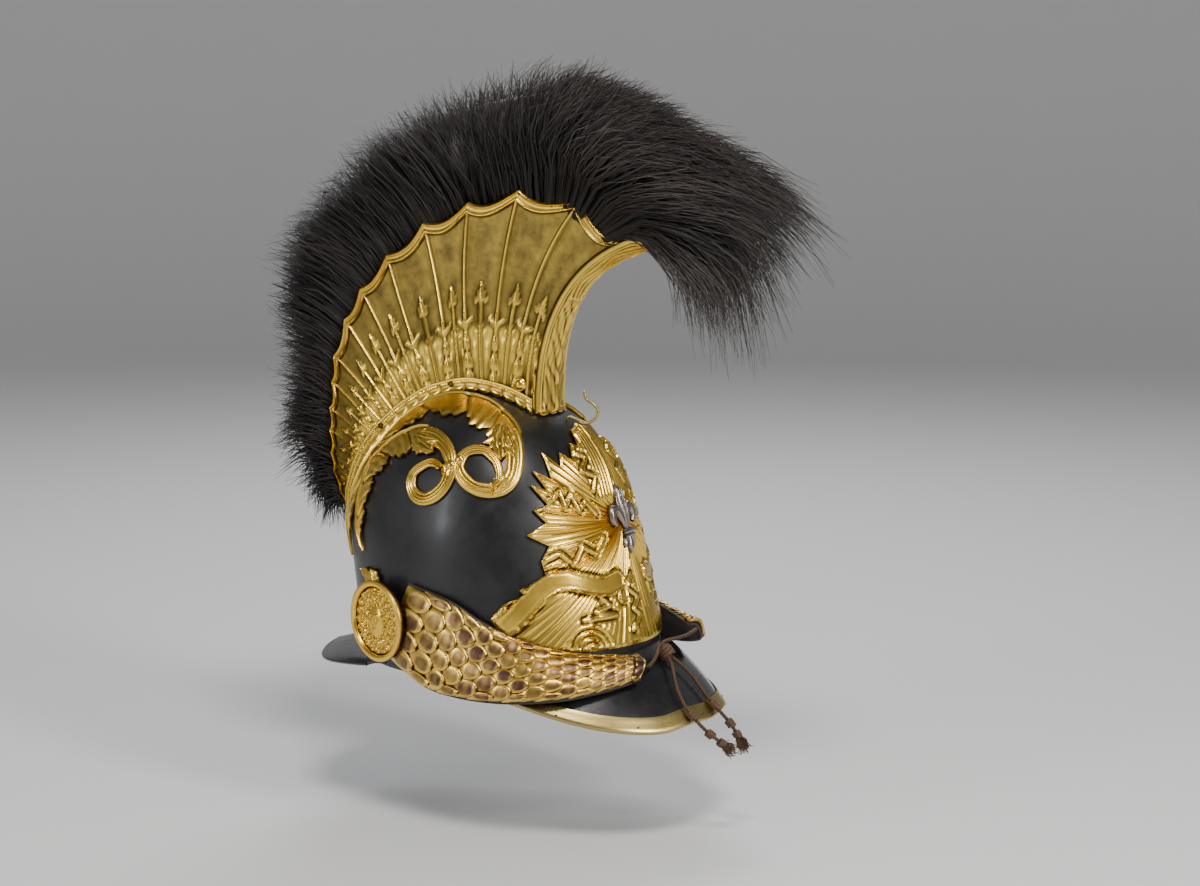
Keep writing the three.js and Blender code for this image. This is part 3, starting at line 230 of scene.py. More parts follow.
def choose(piece):
    bpy.ops.object.select_all(action="DESELECT")
    piece.select_set(True)
    bpy.context.view_layer.objects.active = piece


def set_marks(piece, raised, bright):
    """Stores how raised and how bright each point is, for the finishes."""
    for label, value in (("raised", raised), ("bright", bright)):
        marks = piece.data.attributes.get(label) or piece.data.attributes.new(label, "FLOAT", "POINT")
        value = np.broadcast_to(np.asarray(value, np.float32).reshape(-1), len(piece.data.vertices))
        marks.data.foreach_set("value", np.ascontiguousarray(value))


def smooth(piece, corner=45):
    choose(piece)
    bpy.ops.object.shade_smooth_by_angle(angle=math.radians(corner))


def turn_fitting(name, rows, spot, axis, sides=24, raised=0.55, bright=0.8):
    """A turned fitting: a circle is extruded and resized through rows of radius and height."""
    bpy.ops.object.select_all(action="DESELECT")
    bpy.ops.mesh.primitive_circle_add(vertices=sides, radius=rows[0][0] * METRE, fill_type="NGON",
                                      location=(0, 0, rows[0][1] * METRE))
    piece = bpy.context.object
    piece.name = name
    bpy.ops.object.transform_apply(location=True)
    bpy.ops.object.mode_set(mode="EDIT")
    bpy.ops.mesh.select_all(action="SELECT")
    for (radius, height), (next_radius, next_height) in zip(rows, rows[1:]):
        rise = (0, 0, (next_height - height) * METRE)
        bpy.ops.mesh.extrude_region_move(TRANSFORM_OT_translate={"value": rise})
        grow = next_radius / radius
        bpy.ops.transform.resize(value=(grow, grow, 1), center_override=(0, 0, next_height * METRE))
    bpy.ops.mesh.select_all(action="SELECT")
    bpy.ops.mesh.normals_make_consistent(inside=False)
    bpy.ops.object.mode_set(mode="OBJECT")
    bpy.ops.object.shade_smooth_by_angle(angle=math.radians(40))
    piece.rotation_euler = Vector(axis).to_track_quat("Z", "Y").to_euler()
    piece.location = (np.asarray(spot) + RIM_TO_CROWN) * METRE
    bpy.ops.object.transform_apply(location=True, rotation=True, scale=True)
    set_marks(piece, raised, bright)
    return piece


def bend_wire(name, points, radius, corners, ends):
    """A round wire bent through points: a curve with a round section, made a mesh."""
    line = bpy.data.curves.new(name, "CURVE")
    line.dimensions = "3D"
    line.bevel_depth = radius * METRE
    line.bevel_resolution = corners
    line.use_fill_caps = True
    spline = line.splines.new("POLY")
    spline.points.add(len(points) - 1)
    for number, point in enumerate((np.asarray(points) + RIM_TO_CROWN) * METRE):
        spline.points[number].co = (*point, 1)
        spline.points[number].radius = ends if number in (0, len(points) - 1) else 1
    piece = bpy.data.objects.new(name, line)
    bpy.context.collection.objects.link(piece)
    choose(piece)
    bpy.ops.object.convert(target="MESH")
    piece = bpy.context.object
    set_marks(piece, 0.6, 0.7)
    return piece


def join_up(main, others):
    """Joins fittings to the piece that they belong to."""
    choose(main)
    for other in others:
        other.select_set(True)
    bpy.ops.object.join()
    main.select_set(False)


def mirror_copy(piece, name):
    """The same piece for the other side of the helmet, with its own mesh."""
    choose(piece)
    bpy.ops.object.duplicate()
    twin = bpy.context.object
    twin.name = name
    twin.scale = (-1, 1, 1)
    bpy.ops.object.transform_apply(scale=True)
    bpy.ops.object.mode_set(mode="EDIT")
    bpy.ops.mesh.select_all(action="SELECT")
    bpy.ops.mesh.normals_make_consistent(inside=False)
    bpy.ops.object.mode_set(mode="OBJECT")
    return twin


def dress(piece, nodes, finish):
    piece.data.materials.clear()
    piece.data.materials.append(finish)
    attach(piece, "root")
    if nodes:
        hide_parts(*nodes)
    return piece


def dress_pair(piece, left_name, nodes, left_nodes, finish):
    twin = mirror_copy(piece, left_name)
    dress(piece, nodes, finish)
    dress(twin, left_nodes, finish)


def thin(grid, rows=0, columns=0):
    """Fewer rows or columns of a grid, with its edges kept."""
    if rows:
        grid = grid[np.rint(np.linspace(0, len(grid) - 1, rows)).astype(int)]
    if columns:
        grid = grid[:, np.rint(np.linspace(0, grid.shape[1] - 1, columns)).astype(int)]
    return grid


class Casting:
    """Many small forms gathered into one mesh, with how raised and how bright each point is."""

    def __init__(self):
        self.points, self.faces, self.raised, self.bright = [], [], [], []
        self.count = 0

    def add(self, points, faces, raised=1.0, bright=1.0):
        points = np.asarray(points, float).reshape(-1, 3)
        self.points.append(points)
        self.faces.append(np.asarray(faces, int) + self.count)
        for store, value in ((self.raised, raised), (self.bright, bright)):
            value = np.asarray(value, float).reshape(-1)
            store.append(np.broadcast_to(value, len(points)) if len(value) == 1 else value)
        self.count += len(points)

    def add_sheet(self, top, under, wrap=False, raised=1.0, bright=1.0):
        """A wall between two grids; the lower may be coarser. Wrapped grids start at a pole or ring."""
        shift = top.shape[0] * top.shape[1]
        high = np.arange(shift).reshape(top.shape[:2])
        low = np.arange(under.shape[0] * under.shape[1]).reshape(under.shape[:2]) + shift
        faces = [grid_faces(*top.shape[:2], wrap), grid_faces(*under.shape[:2], wrap)[:, ::-1] + shift]

        def join_edges(a, b):
            b = b[np.rint(np.linspace(0, len(b) - 1, len(a))).astype(int)]
            faces.append(np.stack([a[:-1], b[:-1], b[1:], a[1:]], -1))

        if wrap:
            join_edges(np.append(high[-1], high[-1, 0]), np.append(low[-1], low[-1, 0]))
        else:
            join_edges(high[-1], low[-1])
            join_edges(high[0, ::-1], low[0, ::-1])
            join_edges(high[:, 0], low[:, 0])
            join_edges(high[::-1, -1], low[::-1, -1])
        # The under grid gets raised 0 and bright 0.3, so the brass finishes paint the walls and undersides
        # with the painted shade of their hollows.
        marks = [np.append(np.broadcast_to(np.asarray(m, float), high.shape).reshape(-1),
                           np.full(low.size, under_mark)) for m, under_mark in ((raised, 0), (bright, 0.3))]
        self.add(np.concatenate([top.reshape(-1, 3), under.reshape(-1, 3)]), np.concatenate(faces), *marks)

    def add_rod(self, spine, radius, sides=10, ripple=None, raised=1.0, bright=1.0):
        """A bar along a spine. ripple(angle, along) changes its radius."""
        spine = np.asarray(spine, float)
        count = len(spine)
        ahead = unit(np.gradient(spine, axis=0))
        normal = np.zeros_like(spine)
        carried = unit(np.cross(ahead[0], [0.31, 0.22, 0.93]))
        for index in range(count):
            carried = unit(carried - ahead[index] * carried.dot(ahead[index]))
            normal[index] = carried
        across = np.cross(ahead, normal)
        angle = np.arange(sides) / sides * 2 * np.pi
        along = np.concatenate([[0], np.cumsum(np.linalg.norm(np.diff(spine, axis=0), axis=1))])
        radius = np.broadcast_to(np.asarray(radius, float), count)[:, None] * np.ones(sides)
        if ripple is not None:
            radius = radius * ripple(angle[None, :], along[:, None])
        ring = np.cos(angle)[None, :, None] * normal[:, None] + np.sin(angle)[None, :, None] * across[:, None]
        points = spine[:, None] + ring * radius[..., None]
        start = np.broadcast_to(spine[0], (1, sides, 3))
        end = np.broadcast_to(spine[-1], (1, sides, 3))
        self.add(np.concatenate([start, points, end]), grid_faces(count + 2, sides, True), raised, bright)

    def make(self, name, corner=50):
        """Makes the mesh, joins doubled points and turns the faces outwards."""
        mesh = bpy.data.meshes.new(name)
        points = (np.concatenate(self.points) + RIM_TO_CROWN) * METRE
        faces = [list(dict.fromkeys(face)) for face in np.concatenate(self.faces).tolist()]
        mesh.from_pydata(points.tolist(), [], faces)
        piece = bpy.data.objects.new(name, mesh)
        bpy.context.collection.objects.link(piece)
        set_marks(piece, np.concatenate(self.raised), np.concatenate(self.bright))
        choose(piece)
        bpy.ops.object.mode_set(mode="EDIT")
        bpy.ops.mesh.select_all(action="SELECT")
        bpy.ops.mesh.remove_doubles(threshold=0.000004)
        bpy.ops.mesh.normals_make_consistent(inside=False)
        bpy.ops.object.mode_set(mode="OBJECT")
        smooth(piece, corner)
        return piece

    def finish(self, name, nodes, slot, finish, corner=50):
        return dress(self.make(name, corner), nodes, finish)


# Finishes

def new_node(tree, kind, **values):
    node = tree.nodes.new(kind)
    for name, value in values.items():
        if name.startswith("set_"):
            setattr(node, name[4:], value)
        else:
            node.inputs[name.replace("_", " ")].default_value = value
    return node


def blend_colour(tree, share, first, second):
    """A colour mix whose share is linked, and whose colours are values or sockets."""
    node = tree.nodes.new("ShaderNodeMix")
    node.data_type = "RGBA"
    tree.links.new(share, node.inputs[0])
    for socket, colour in ((node.inputs[6], first), (node.inputs[7], second)):
        if isinstance(colour, tuple):
            socket.default_value = (*colour, 1.0)
        else:
            tree.links.new(colour, socket)
    return node.outputs[2]


def stretch(tree, value, from_low, from_high, to_low=0.0, to_high=1.0):
    node = tree.nodes.new("ShaderNodeMapRange")
    tree.links.new(value, node.inputs["Value"])
    for name, number in (("From Min", from_low), ("From Max", from_high),
                         ("To Min", to_low), ("To Max", to_high)):
        node.inputs[name].default_value = number
    return node.outputs["Result"]


def sum_of(tree, operation, first, second):
    node = tree.nodes.new("ShaderNodeMath")
    node.operation = operation
    for socket, value in ((node.inputs[0], first), (node.inputs[1], second)):
        if isinstance(value, (int, float)):
            socket.default_value = value
        else:
            tree.links.new(value, socket)
    return node.outputs[0]


def shared_group(name, inputs, outputs):
    group = bpy.data.node_groups.new(name, "ShaderNodeTree")
    for label, kind, value in inputs:
        socket = group.interface.new_socket(name=label, in_out="INPUT", socket_type=kind)
        socket.default_value = value
    for label, kind in outputs:
        group.interface.new_socket(name=label, in_out="OUTPUT", socket_type=kind)
    return group, group.nodes.new("NodeGroupInput"), group.nodes.new("NodeGroupOutput")


def make_raised_mask_group():
    """How far a raised place is rubbed bright, broken up by handling; in make_brass its low end also sets the
    painted shade in the hollows.
    """
    group, entry, leave = shared_group(
        "rub_and_shade_mask",
        [("Raised", "NodeSocketFloat", 1.0), ("Patch", "NodeSocketFloat", 60.0),
         ("Break", "NodeSocketFloat", 0.5)],
        [("Mask", "NodeSocketFloat")])
    spot = new_node(group, "ShaderNodeTexCoord")
    patches = new_node(group, "ShaderNodeTexNoise", Detail=6.0, Roughness=0.65)
    group.links.new(spot.outputs["Object"], patches.inputs["Vector"])
    group.links.new(entry.outputs["Patch"], patches.inputs["Scale"])
    centred = sum_of(group, "SUBTRACT", patches.outputs["Fac"], 0.5)
    scaled = sum_of(group, "MULTIPLY", centred, entry.outputs["Break"])
    total = sum_of(group, "ADD", entry.outputs["Raised"], scaled)
    group.links.new(stretch(group, total, 0.0, 1.0), leave.inputs["Mask"])
    return group


def make_grain_group():
    """Fine pits and scratches as a height."""
    group, entry, leave = shared_group(
        "fine_grain",
        [("Pits", "NodeSocketFloat", 900.0), ("Scratches", "NodeSocketFloat", 0.3)],
        [("Height", "NodeSocketFloat")])
    spot = new_node(group, "ShaderNodeTexCoord")
    pits = new_node(group, "ShaderNodeTexNoise", Detail=4.0, Roughness=0.7)
    group.links.new(spot.outputs["Object"], pits.inputs["Vector"])
    group.links.new(entry.outputs["Pits"], pits.inputs["Scale"])
    lay = new_node(group, "ShaderNodeMapping")
    lay.inputs["Rotation"].default_value = (0.4, 0.9, 0.3)
    lay.inputs["Scale"].default_value = (1.0, 14.0, 3.0)
    group.links.new(spot.outputs["Object"], lay.inputs["Vector"])
    lines = new_node(group, "ShaderNodeTexNoise", Scale=70.0, Detail=5.0, Roughness=0.75)
    group.links.new(lay.outputs["Vector"], lines.inputs["Vector"])
    scored = sum_of(group, "MULTIPLY", lines.outputs["Fac"], entry.outputs["Scratches"])
    group.links.new(sum_of(group, "ADD", pits.outputs["Fac"], scored), leave.inputs["Height"])
    return group


def place_group(tree, group, **values):
    node = tree.nodes.new("ShaderNodeGroup")
    node.node_tree = group
    for name, value in values.items():
        socket = node.inputs[name]
        if isinstance(value, (int, float)):
            socket.default_value = value
        else:
            tree.links.new(value, socket)
    return node.outputs[0]


def start_finish(name):
    finish = bpy.data.materials.new(name)
    finish.use_nodes = True
    tree = finish.node_tree
    return finish, tree, tree.nodes["Principled BSDF"]


def mark(tree, label):
    node = tree.nodes.new("ShaderNodeAttribute")
    node.attribute_name = label
    return node.outputs["Fac"]


def roughen(tree, shader, height, strength, depth):
    bump = new_node(tree, "ShaderNodeBump", Strength=strength, Distance=depth)
    tree.links.new(height, bump.inputs["Height"])
    tree.links.new(bump.outputs["Normal"], shader.inputs["Normal"])


def make_brass(name, bright, dull, hollow_shade, gloss, matt, patch, wear, pits, dent):
    """Gilt brass: bright where it is raised and rubbed, dull in the field, with painted shade darkening the
    hollows.
    """
    finish, tree, shader = start_finish(name)
    rub_and_shade = place_group(tree, raised_mask_group, Raised=mark(tree, "raised"), Patch=patch, Break=wear)
    lit = place_group(tree, raised_mask_group, Raised=mark(tree, "bright"), Patch=patch * 2.3, Break=wear * 1.5)
    field = blend_colour(tree, lit, dull, bright)
    # painted shade: the least raised places blend towards the dark hollow colour
    hollow = blend_colour(tree, stretch(tree, rub_and_shade, 0.12, 0.50), hollow_shade, field)
    crest = blend_colour(tree, stretch(tree, rub_and_shade, 0.60, 0.95), hollow, bright)
    tree.links.new(crest, shader.inputs["Base Color"])
    shine = sum_of(tree, "MULTIPLY", stretch(tree, rub_and_shade, 0.1, 0.8), stretch(tree, lit, 0, 1, 0.40, 1))
    tree.links.new(stretch(tree, shine, 0.0, 1.0, matt, gloss), shader.inputs["Roughness"])
    shader.inputs["Metallic"].default_value = 1.0
    grain = place_group(tree, grain_group, Pits=pits, Scratches=0.5)
    roughen(tree, shader, grain, dent, 0.0004)
    return finish


def make_leather(name, colour, worn, gloss, matt, coat, cracks, dent):
    """Lacquered leather with worn patches and fine cracks."""
    finish, tree, shader = start_finish(name)
    spot = new_node(tree, "ShaderNodeTexCoord")
    cloud = new_node(tree, "ShaderNodeTexNoise", Scale=22.0, Detail=7.0, Roughness=0.7)
    tree.links.new(spot.outputs["Object"], cloud.inputs["Vector"])
    wear = stretch(tree, cloud.outputs["Fac"], 0.42, 0.75)
    tree.links.new(blend_colour(tree, wear, colour, worn), shader.inputs["Base Color"])
    tree.links.new(stretch(tree, wear, 0, 1, gloss, matt), shader.inputs["Roughness"])
    shader.inputs["Coat Weight"].default_value = coat
    shader.inputs["Coat Roughness"].default_value = 0.16
    lines = new_node(tree, "ShaderNodeTexVoronoi", Scale=cracks)
    lines.feature = "DISTANCE_TO_EDGE"
    warp = new_node(tree, "ShaderNodeTexNoise", Scale=40.0, Detail=3.0)
    tree.links.new(spot.outputs["Object"], warp.inputs["Vector"])
    bent = tree.nodes.new("ShaderNodeVectorMath")
    bent.operation = "MULTIPLY_ADD"
    tree.links.new(warp.outputs["Color"], bent.inputs[0])
    bent.inputs[1].default_value = (0.02, 0.02, 0.02)
    tree.links.new(spot.outputs["Object"], bent.inputs[2])
    tree.links.new(bent.outputs["Vector"], lines.inputs["Vector"])
    open_crack = stretch(tree, lines.outputs["Distance"], 0.0, 0.05)
    grain = place_group(tree, grain_group, Pits=1400.0, Scratches=0.8)
    height = sum_of(tree, "ADD", sum_of(tree, "MULTIPLY", open_crack, 0.35), grain)
    roughen(tree, shader, height, dent, 0.0003)
    return finish


def make_fibre(name, dark, light, rough, sheen):
    """Hair or silk whose threads differ in tone; on the hair the tone also carries painted light."""
    finish, tree, shader = start_finish(name)
    tone = mark(tree, "bright")
    tree.links.new(blend_colour(tree, tone, dark, light), shader.inputs["Base Color"])
    tree.links.new(stretch(tree, tone, 0, 0.08, rough + 0.40, rough), shader.inputs["Roughness"])
    shader.inputs["Sheen Weight"].default_value = sheen
    return finish


raised_mask_group = make_raised_mask_group()
grain_group = make_grain_group()
# Each brass: bright and dull colours, the dark colour of the painted shade in its hollows, then gloss, matt,
# patch, wear, pits and dent
plate_gilt = make_brass("plate_gilt", (0.93, 0.62, 0.10), (0.60, 0.37, 0.05), (0.060, 0.030, 0.005),
                        0.18, 0.46, 55.0, 0.30, 700.0, 0.16)
comb_gilt = make_brass("comb_gilt", (0.92, 0.62, 0.10), (0.100, 0.070, 0.022), (0.040, 0.024, 0.007),
                       0.19, 0.47, 40.0, 0.38, 1300.0, 0.30)
boss_gilt = make_brass("boss_gilt", (0.96, 0.62, 0.09), (0.78, 0.44, 0.05), (0.10, 0.045, 0.006),
                       0.18, 0.42, 80.0, 0.25, 900.0, 0.12)
rim_brass = make_brass("rim_brass", (0.52, 0.40, 0.14), (0.36, 0.27, 0.085), (0.08, 0.050, 0.015),
                       0.25, 0.44, 45.0, 0.5, 800.0, 0.14)
scale_brass = make_brass("scale_brass", (0.90, 0.59, 0.12), (0.115, 0.058, 0.042), (0.022, 0.012, 0.007),
                         0.24, 0.42, 110.0, 0.30, 900.0, 0.25)
dark_silver = make_brass("dark_silver", (0.46, 0.40, 0.37), (0.105, 0.080, 0.070), (0.012, 0.009, 0.008),
                         0.22, 0.44, 200.0, 0.5, 900.0, 0.25)
skull_lacquer = make_leather("skull_lacquer", (0.006, 0.006, 0.0065), (0.016, 0.016, 0.017),
                             0.34, 0.54, 0.12, 60.0, 0.20)
peak_lacquer = make_leather("peak_lacquer", (0.005, 0.005, 0.0055), (0.014, 0.014, 0.015),
                            0.20, 0.42, 0.6, 38.0, 0.35)
strap_hide = make_leather("strap_hide", (0.018, 0.010, 0.0075), (0.050, 0.030, 0.022),
                          0.50, 0.75, 0.0, 90.0, 0.5)
# horse_hair's light colour is a painted highlight colour, mixed in by each hair's tone
horse_hair = make_fibre("horse_hair", (0.0045, 0.0035, 0.0035), (0.150, 0.118, 0.104), 0.44, 0.0)
tie_silk = make_fibre("tie_silk", (0.012, 0.005, 0.002), (0.118, 0.058, 0.022), 0.6, 0.0)


# Camera and light

# The camera's eye and look come from the photo, by the parts that come in mirrored pairs
CAMERA_EYE = (-1.6454, -0.9640, 0.2405)
CAMERA_LOOK = (0.87428779, 0.46268325, -0.1467824)
CAMERA_LENS = 77.7
# Each light's place, its size, its power and its colour
STUDIO_LIGHTS = [
    ((-1.0, -0.7, 1.7), (0.55, 0.4), 30, (1.0, 0.97, 0.93)),
    ((-0.55, -1.9, 0.75), (0.35, 0.6), 26, (1.0, 0.98, 0.96)),
    ((-1.8, 1.0, 0.5), (0.25, 0.9), 11, (0.95, 0.97, 1.0)),
    ((1.3, 0.6, 1.3), (0.9, 0.9), 18, (0.97, 0.98, 1.0)),
]
LIGHTS_AIM = (0, 0, -0.03)
FLOOR_BELOW, FLOOR_RADIUS = 0.06, 2.9
# The floor's rising edge, as rows of radius and rise
FLOOR_EDGE = [(3.3, 0.03), (3.65, 0.13), (3.95, 0.32), (4.15, 0.58), (4.27, 0.90), (4.32, 1.30), (4.34, 2.6)]


def make_camera():
    bpy.ops.object.camera_add(location=CAMERA_EYE)
    camera = bpy.context.object
    camera.rotation_euler = Vector(CAMERA_LOOK).to_track_quat("-Z", "Y").to_euler()
    camera.data.sensor_width = 36.0
    camera.data.lens = CAMERA_LENS
    camera.data.clip_start = 0.05
    bpy.context.scene.camera = camera


def add_soft_light(place, size, power, colour):
    bpy.ops.object.light_add(type="AREA", location=place)
    lamp = bpy.context.object
    lamp.data.shape = "RECTANGLE"
    lamp.data.size, lamp.data.size_y = size
    lamp.data.energy = power
    lamp.data.color = colour
    lamp.visible_camera = False
    lamp.rotation_euler = (Vector(LIGHTS_AIM) - Vector(place)).to_track_quat("-Z", "Y").to_euler()


def make_floor():
    """A wide pale dish, which curves up into a low wall."""
    low = cad_box[0][2] - FLOOR_BELOW
    bpy.ops.object.select_all(action="DESELECT")
    bpy.ops.mesh.primitive_circle_add(vertices=96, radius=FLOOR_RADIUS, fill_type="NGON",
                                      location=(0, 0, low))
    floor = bpy.context.object
    floor.name = "floor"
    bpy.ops.object.mode_set(mode="EDIT")
    bpy.ops.mesh.select_mode(type="EDGE")
    bpy.ops.mesh.select_all(action="SELECT")
    bpy.ops.mesh.region_to_loop()
    radius, rise = FLOOR_RADIUS, 0.0
    for next_radius, next_rise in FLOOR_EDGE:
        move = {"value": (0, 0, next_rise - rise)}
        bpy.ops.mesh.extrude_edges_move(TRANSFORM_OT_translate=move)
        grow = next_radius / radius
        bpy.ops.transform.resize(value=(grow, grow, 1), center_override=(0, 0, low + next_rise))
        radius, rise = next_radius, next_rise
    bpy.ops.object.mode_set(mode="OBJECT")
    bpy.ops.object.shade_smooth()
    paint, _, shader = start_finish("floor_paint")
    shader.inputs["Base Color"].default_value = (0.74, 0.74, 0.74, 1)
    shader.inputs["Roughness"].default_value = 0.85
    floor.data.materials.append(paint)


def make_studio():
    world = bpy.data.worlds.new("studio")
    bpy.context.scene.world = world
    world.use_nodes = True
    air = world.node_tree.nodes["Background"]
    air.inputs["Color"].default_value = (0.80, 0.82, 0.85, 1)
    air.inputs["Strength"].default_value = 0.22
    make_floor()
    for light in STUDIO_LIGHTS:
        add_soft_light(*light)


make_camera()


# Tie cord

CORD_RIGHT = np.array([
    (-32.5, -135, 9), (-27, -136, 11.5), (-20, -136, 15.5), (-13, -134, 19), (-8.5, -131.8, 20.4),
    (-6.4, -132.6, 18.6), (-6.4, -136, 14.5), (-7.4, -139.6, 10.8), (-11, -143.5, 7.6), (-17, -148, 3),
    (-23, -153, -4), (-27, -158.5, -11.5), (-28.5, -164, -18.5), (-28.5, -170, -25), (-27, -176, -31.5),
    (-23, -181, -37.5), (-17, -184.5, -43),
], float)
CORD_LEFT = np.array([
    (31.5, -142.5, 25), (26, -142.5, 24.5), (18, -140, 22.5), (9, -136, 21.6), (1.5, -132.2, 21),
    (-2.6, -132.2, 19), (-3.4, -136, 14.5), (-2.6, -139.8, 10.6), (-0.5, -144, 6.6), (1.6, -149, 1.8),
    (2.6, -154.5, -4), (3, -160, -10.8), (3.4, -165.5, -17.5), (4.4, -171.5, -24), (6, -177.5, -30.5),
    (8, -182, -36.5), (9.5, -185, -42),
], float)
KNOT_AT = np.array([-4.9, -136, 14.5])
KNOT_AXIS = unit(np.array([0, -0.66, -0.75]))
CORD_PLY_PITCH = 5.2
CORD_STEPS = 300
TASSEL_THREADS = 84


def smooth_route(route, count):
    place = np.linspace(0, len(route) - 1, count)
    return np.stack([curve(route[:, column], place) for column in range(3)], -1)


def cord_ripple(angle, along):
    """Two plies laid round each other."""
    return 0.72 + 0.36 * np.abs(np.cos(angle - along * 2 * np.pi / CORD_PLY_PITCH))


def coil_spine(centre, axis, radius, turns, pitch, count=90):
    axis = unit(axis)
    side = unit(np.cross(axis, [1, 0.2, 0.1]))
    other = np.cross(axis, side)
    angle = np.linspace(0, turns * 2 * np.pi, count)
    rise = (angle / (2 * np.pi) - turns / 2) * pitch
    return (centre + np.cos(angle)[:, None] * side * radius + np.sin(angle)[:, None] * other * radius
            + rise[:, None] * axis)


def twisted(spine, offset, pitch, start):
    """A ply that winds round a cord's middle line."""
    ahead = unit(np.gradient(spine, axis=0))
    normal = unit(np.cross(ahead, [0.31, 0.22, 0.93]))
    across = np.cross(ahead, normal)
    along = np.concatenate([[0], np.cumsum(np.linalg.norm(np.diff(spine, axis=0), axis=1))])
    turn = (along / pitch * 2 * np.pi + start)[:, None]
    return spine + (np.cos(turn) * normal + np.sin(turn) * across) * offset


def make_knot():
    knot = Casting()
    knot.add_rod(coil_spine(KNOT_AT, KNOT_AXIS, 4.1, 2.6, 2.6), 1.55, 10, cord_ripple, bright=0.6)
    side = np.array([1.0, 0, 0])
    out = np.cross(KNOT_AXIS, side)
    lap = np.linspace(-1, 1, 24)[:, None]
    for sway in (-1, 1):
        spine = (KNOT_AT + KNOT_AXIS * lap * 3.4 + side * sway * lap * 2.4
                 - out * (5.2 - 1.4 * lap**2))
        knot.add_rod(spine, 1.45, 10, cord_ripple, bright=0.75)
        spine = (KNOT_AT - KNOT_AXIS * lap * 3.2 + side * sway * lap * 2.2
                 + out * (4.8 - 1.4 * lap**2))
        knot.add_rod(spine, 1.35, 10, cord_ripple, bright=0.6)
    return knot.finish("silk_knot", ["tie_knot"], "tie_silk", tie_silk)


def make_cord(name, spine):
    """Two plies wound round each other."""
    cord = Casting()
    for ply in range(2):
        fibre = 0.55 + 0.3 * np.cos(np.arange(8) * 2.4)[None, :] * np.ones((CORD_STEPS + 2, 1))
        cord.add_rod(twisted(spine, 0.66, CORD_PLY_PITCH, ply * np.pi), 0.84, 8, bright=fibre)
    return cord.finish(f"silk_cord_{name}", [f"tie_cord_{name}"], "tie_silk", tie_silk)


def make_cord_knots(name, spine):
    lower = Casting()
    for at in (0.80, 0.93):
        index = int(at * (CORD_STEPS - 1))
        lay = unit(spine[index + 2] - spine[index - 2])
        lower.add_rod(coil_spine(spine[index], lay, 2.3, 3.2, 1.8, 70), 1.15, 8, cord_ripple, bright=0.7)
    return lower.finish(f"cord_knots_{name}", [], "tie_silk", tie_silk)


def make_tassel(name, spine):
    """A wrapped neck and loose threads under it."""
    heading = unit(spine[-1] - spine[-6])
    tuft = Casting()
    tuft.add_rod(coil_spine(spine[-1] + heading * 2.2, heading, 2.3, 2.2, 1.9, 60), 1.2, 8,
                 cord_ripple, bright=0.7)
    side = unit(np.cross(heading, [0.3, 0.1, 0.9]))
    other = np.cross(heading, side)
    run = np.linspace(0, 1, 7)[:, None]
    for thread in range(TASSEL_THREADS):
        turn = thread * 2.399
        away = math.sqrt((thread + 0.5) / TASSEL_THREADS)
        spread = (math.cos(turn) * side + math.sin(turn) * other) * away
        long = 9.0 + 7.0 * rng.random()
        strand = (spine[-1] + heading * (1.0 + run * long) + spread * (1.2 + run * 4.0)
                  + rng.normal(0, 0.7, (7, 3)) * run)
        tuft.add_rod(strand, 0.30, 4, bright=0.2 + 0.8 * rng.random())
    return tuft.finish(f"silk_tassel_{name}", [f"tassel_{name}"], "tie_silk", tie_silk)


def make_tie():
    knot = make_knot()
    for name, route in (("right", CORD_RIGHT), ("left", CORD_LEFT)):
        spine = smooth_route(route, CORD_STEPS)
        cord = make_cord(name, spine)
        lower = make_cord_knots(name, spine)
        with_pieces = [make_tassel(name, spine), lower]
        if name == "right":
            with_pieces.append(knot)


# Leather skull, peak and neck guard

def make_skull():
    turns = np.arange(120) / 120 * 360
    places = np.linspace(0, CROWN_PLACE, 64)
    turn, place = np.meshgrid(turns, places)
    outer = skull_face(turn, place)
    inner = outer - skull_normal(turn, place) * SKULL_WALL
    inner[-1] = (0, -RIM_TO_CROWN[1], SKULL_HEIGHT - SKULL_WALL)
    skull = Casting()
    skull.add_sheet(outer[::-1], thin(inner, 20)[::-1], wrap=True)
    skull.finish("leather_skull", ["skull"], "skull_leather", skull_lacquer)


PEAK_EDGE_DROP = [0.94, 0.91, 1.00, 0.95, 0.82, 0.60, 0.32, 0.06]
PEAK_THICK, BAND_THICK, BAND_WIDE = 2.2, 0.8, 9.5
PEAK_ROOT_TURN, PEAK_ROOT_UP = 78, 16
PEAK_HALF_WIDTH, PEAK_BACK, PEAK_REACH, PEAK_DROP, PEAK_CROWN = 104, 25, 145, 32, 5
PEAK_ROUND = 2 / 2.15


def peak_face(across, out):
    across, out = np.broadcast_arrays(np.asarray(across, float), np.asarray(out, float))
    sideways = np.abs(across)
    root = skull_point(across * PEAK_ROOT_TURN, PEAK_ROOT_UP * (1 - 0.9 * sideways**2.2),
                       PEAK_THICK / 2 + GAP)
    angle = across * np.pi / 2
    edge = stack(-PEAK_HALF_WIDTH * np.sign(across) * np.abs(np.sin(angle)) ** PEAK_ROUND,
                 -PEAK_BACK - PEAK_REACH * np.abs(np.cos(angle)) ** PEAK_ROUND,
                 -PEAK_DROP * curve(PEAK_EDGE_DROP, sideways * (len(PEAK_EDGE_DROP) - 1)))
    point = mix(root, edge, out[..., None])
    point[..., 2] += PEAK_CROWN * 4 * out * (1 - out) * np.cos(angle)
    return point


def peak_point(across, out, lift):
    before = peak_face(np.maximum(across - 0.02, -1), 0.9)
    along = peak_face(np.minimum(across + 0.02, 1), 0.9) - before
    outward = peak_face(across, 1.0) - peak_face(across, 0.8)
    normal = unit(np.cross(outward, along))
    normal = np.where(normal[..., 2:] < 0, -normal, normal)
    return peak_face(across, out) + normal * np.asarray(lift)[..., None]


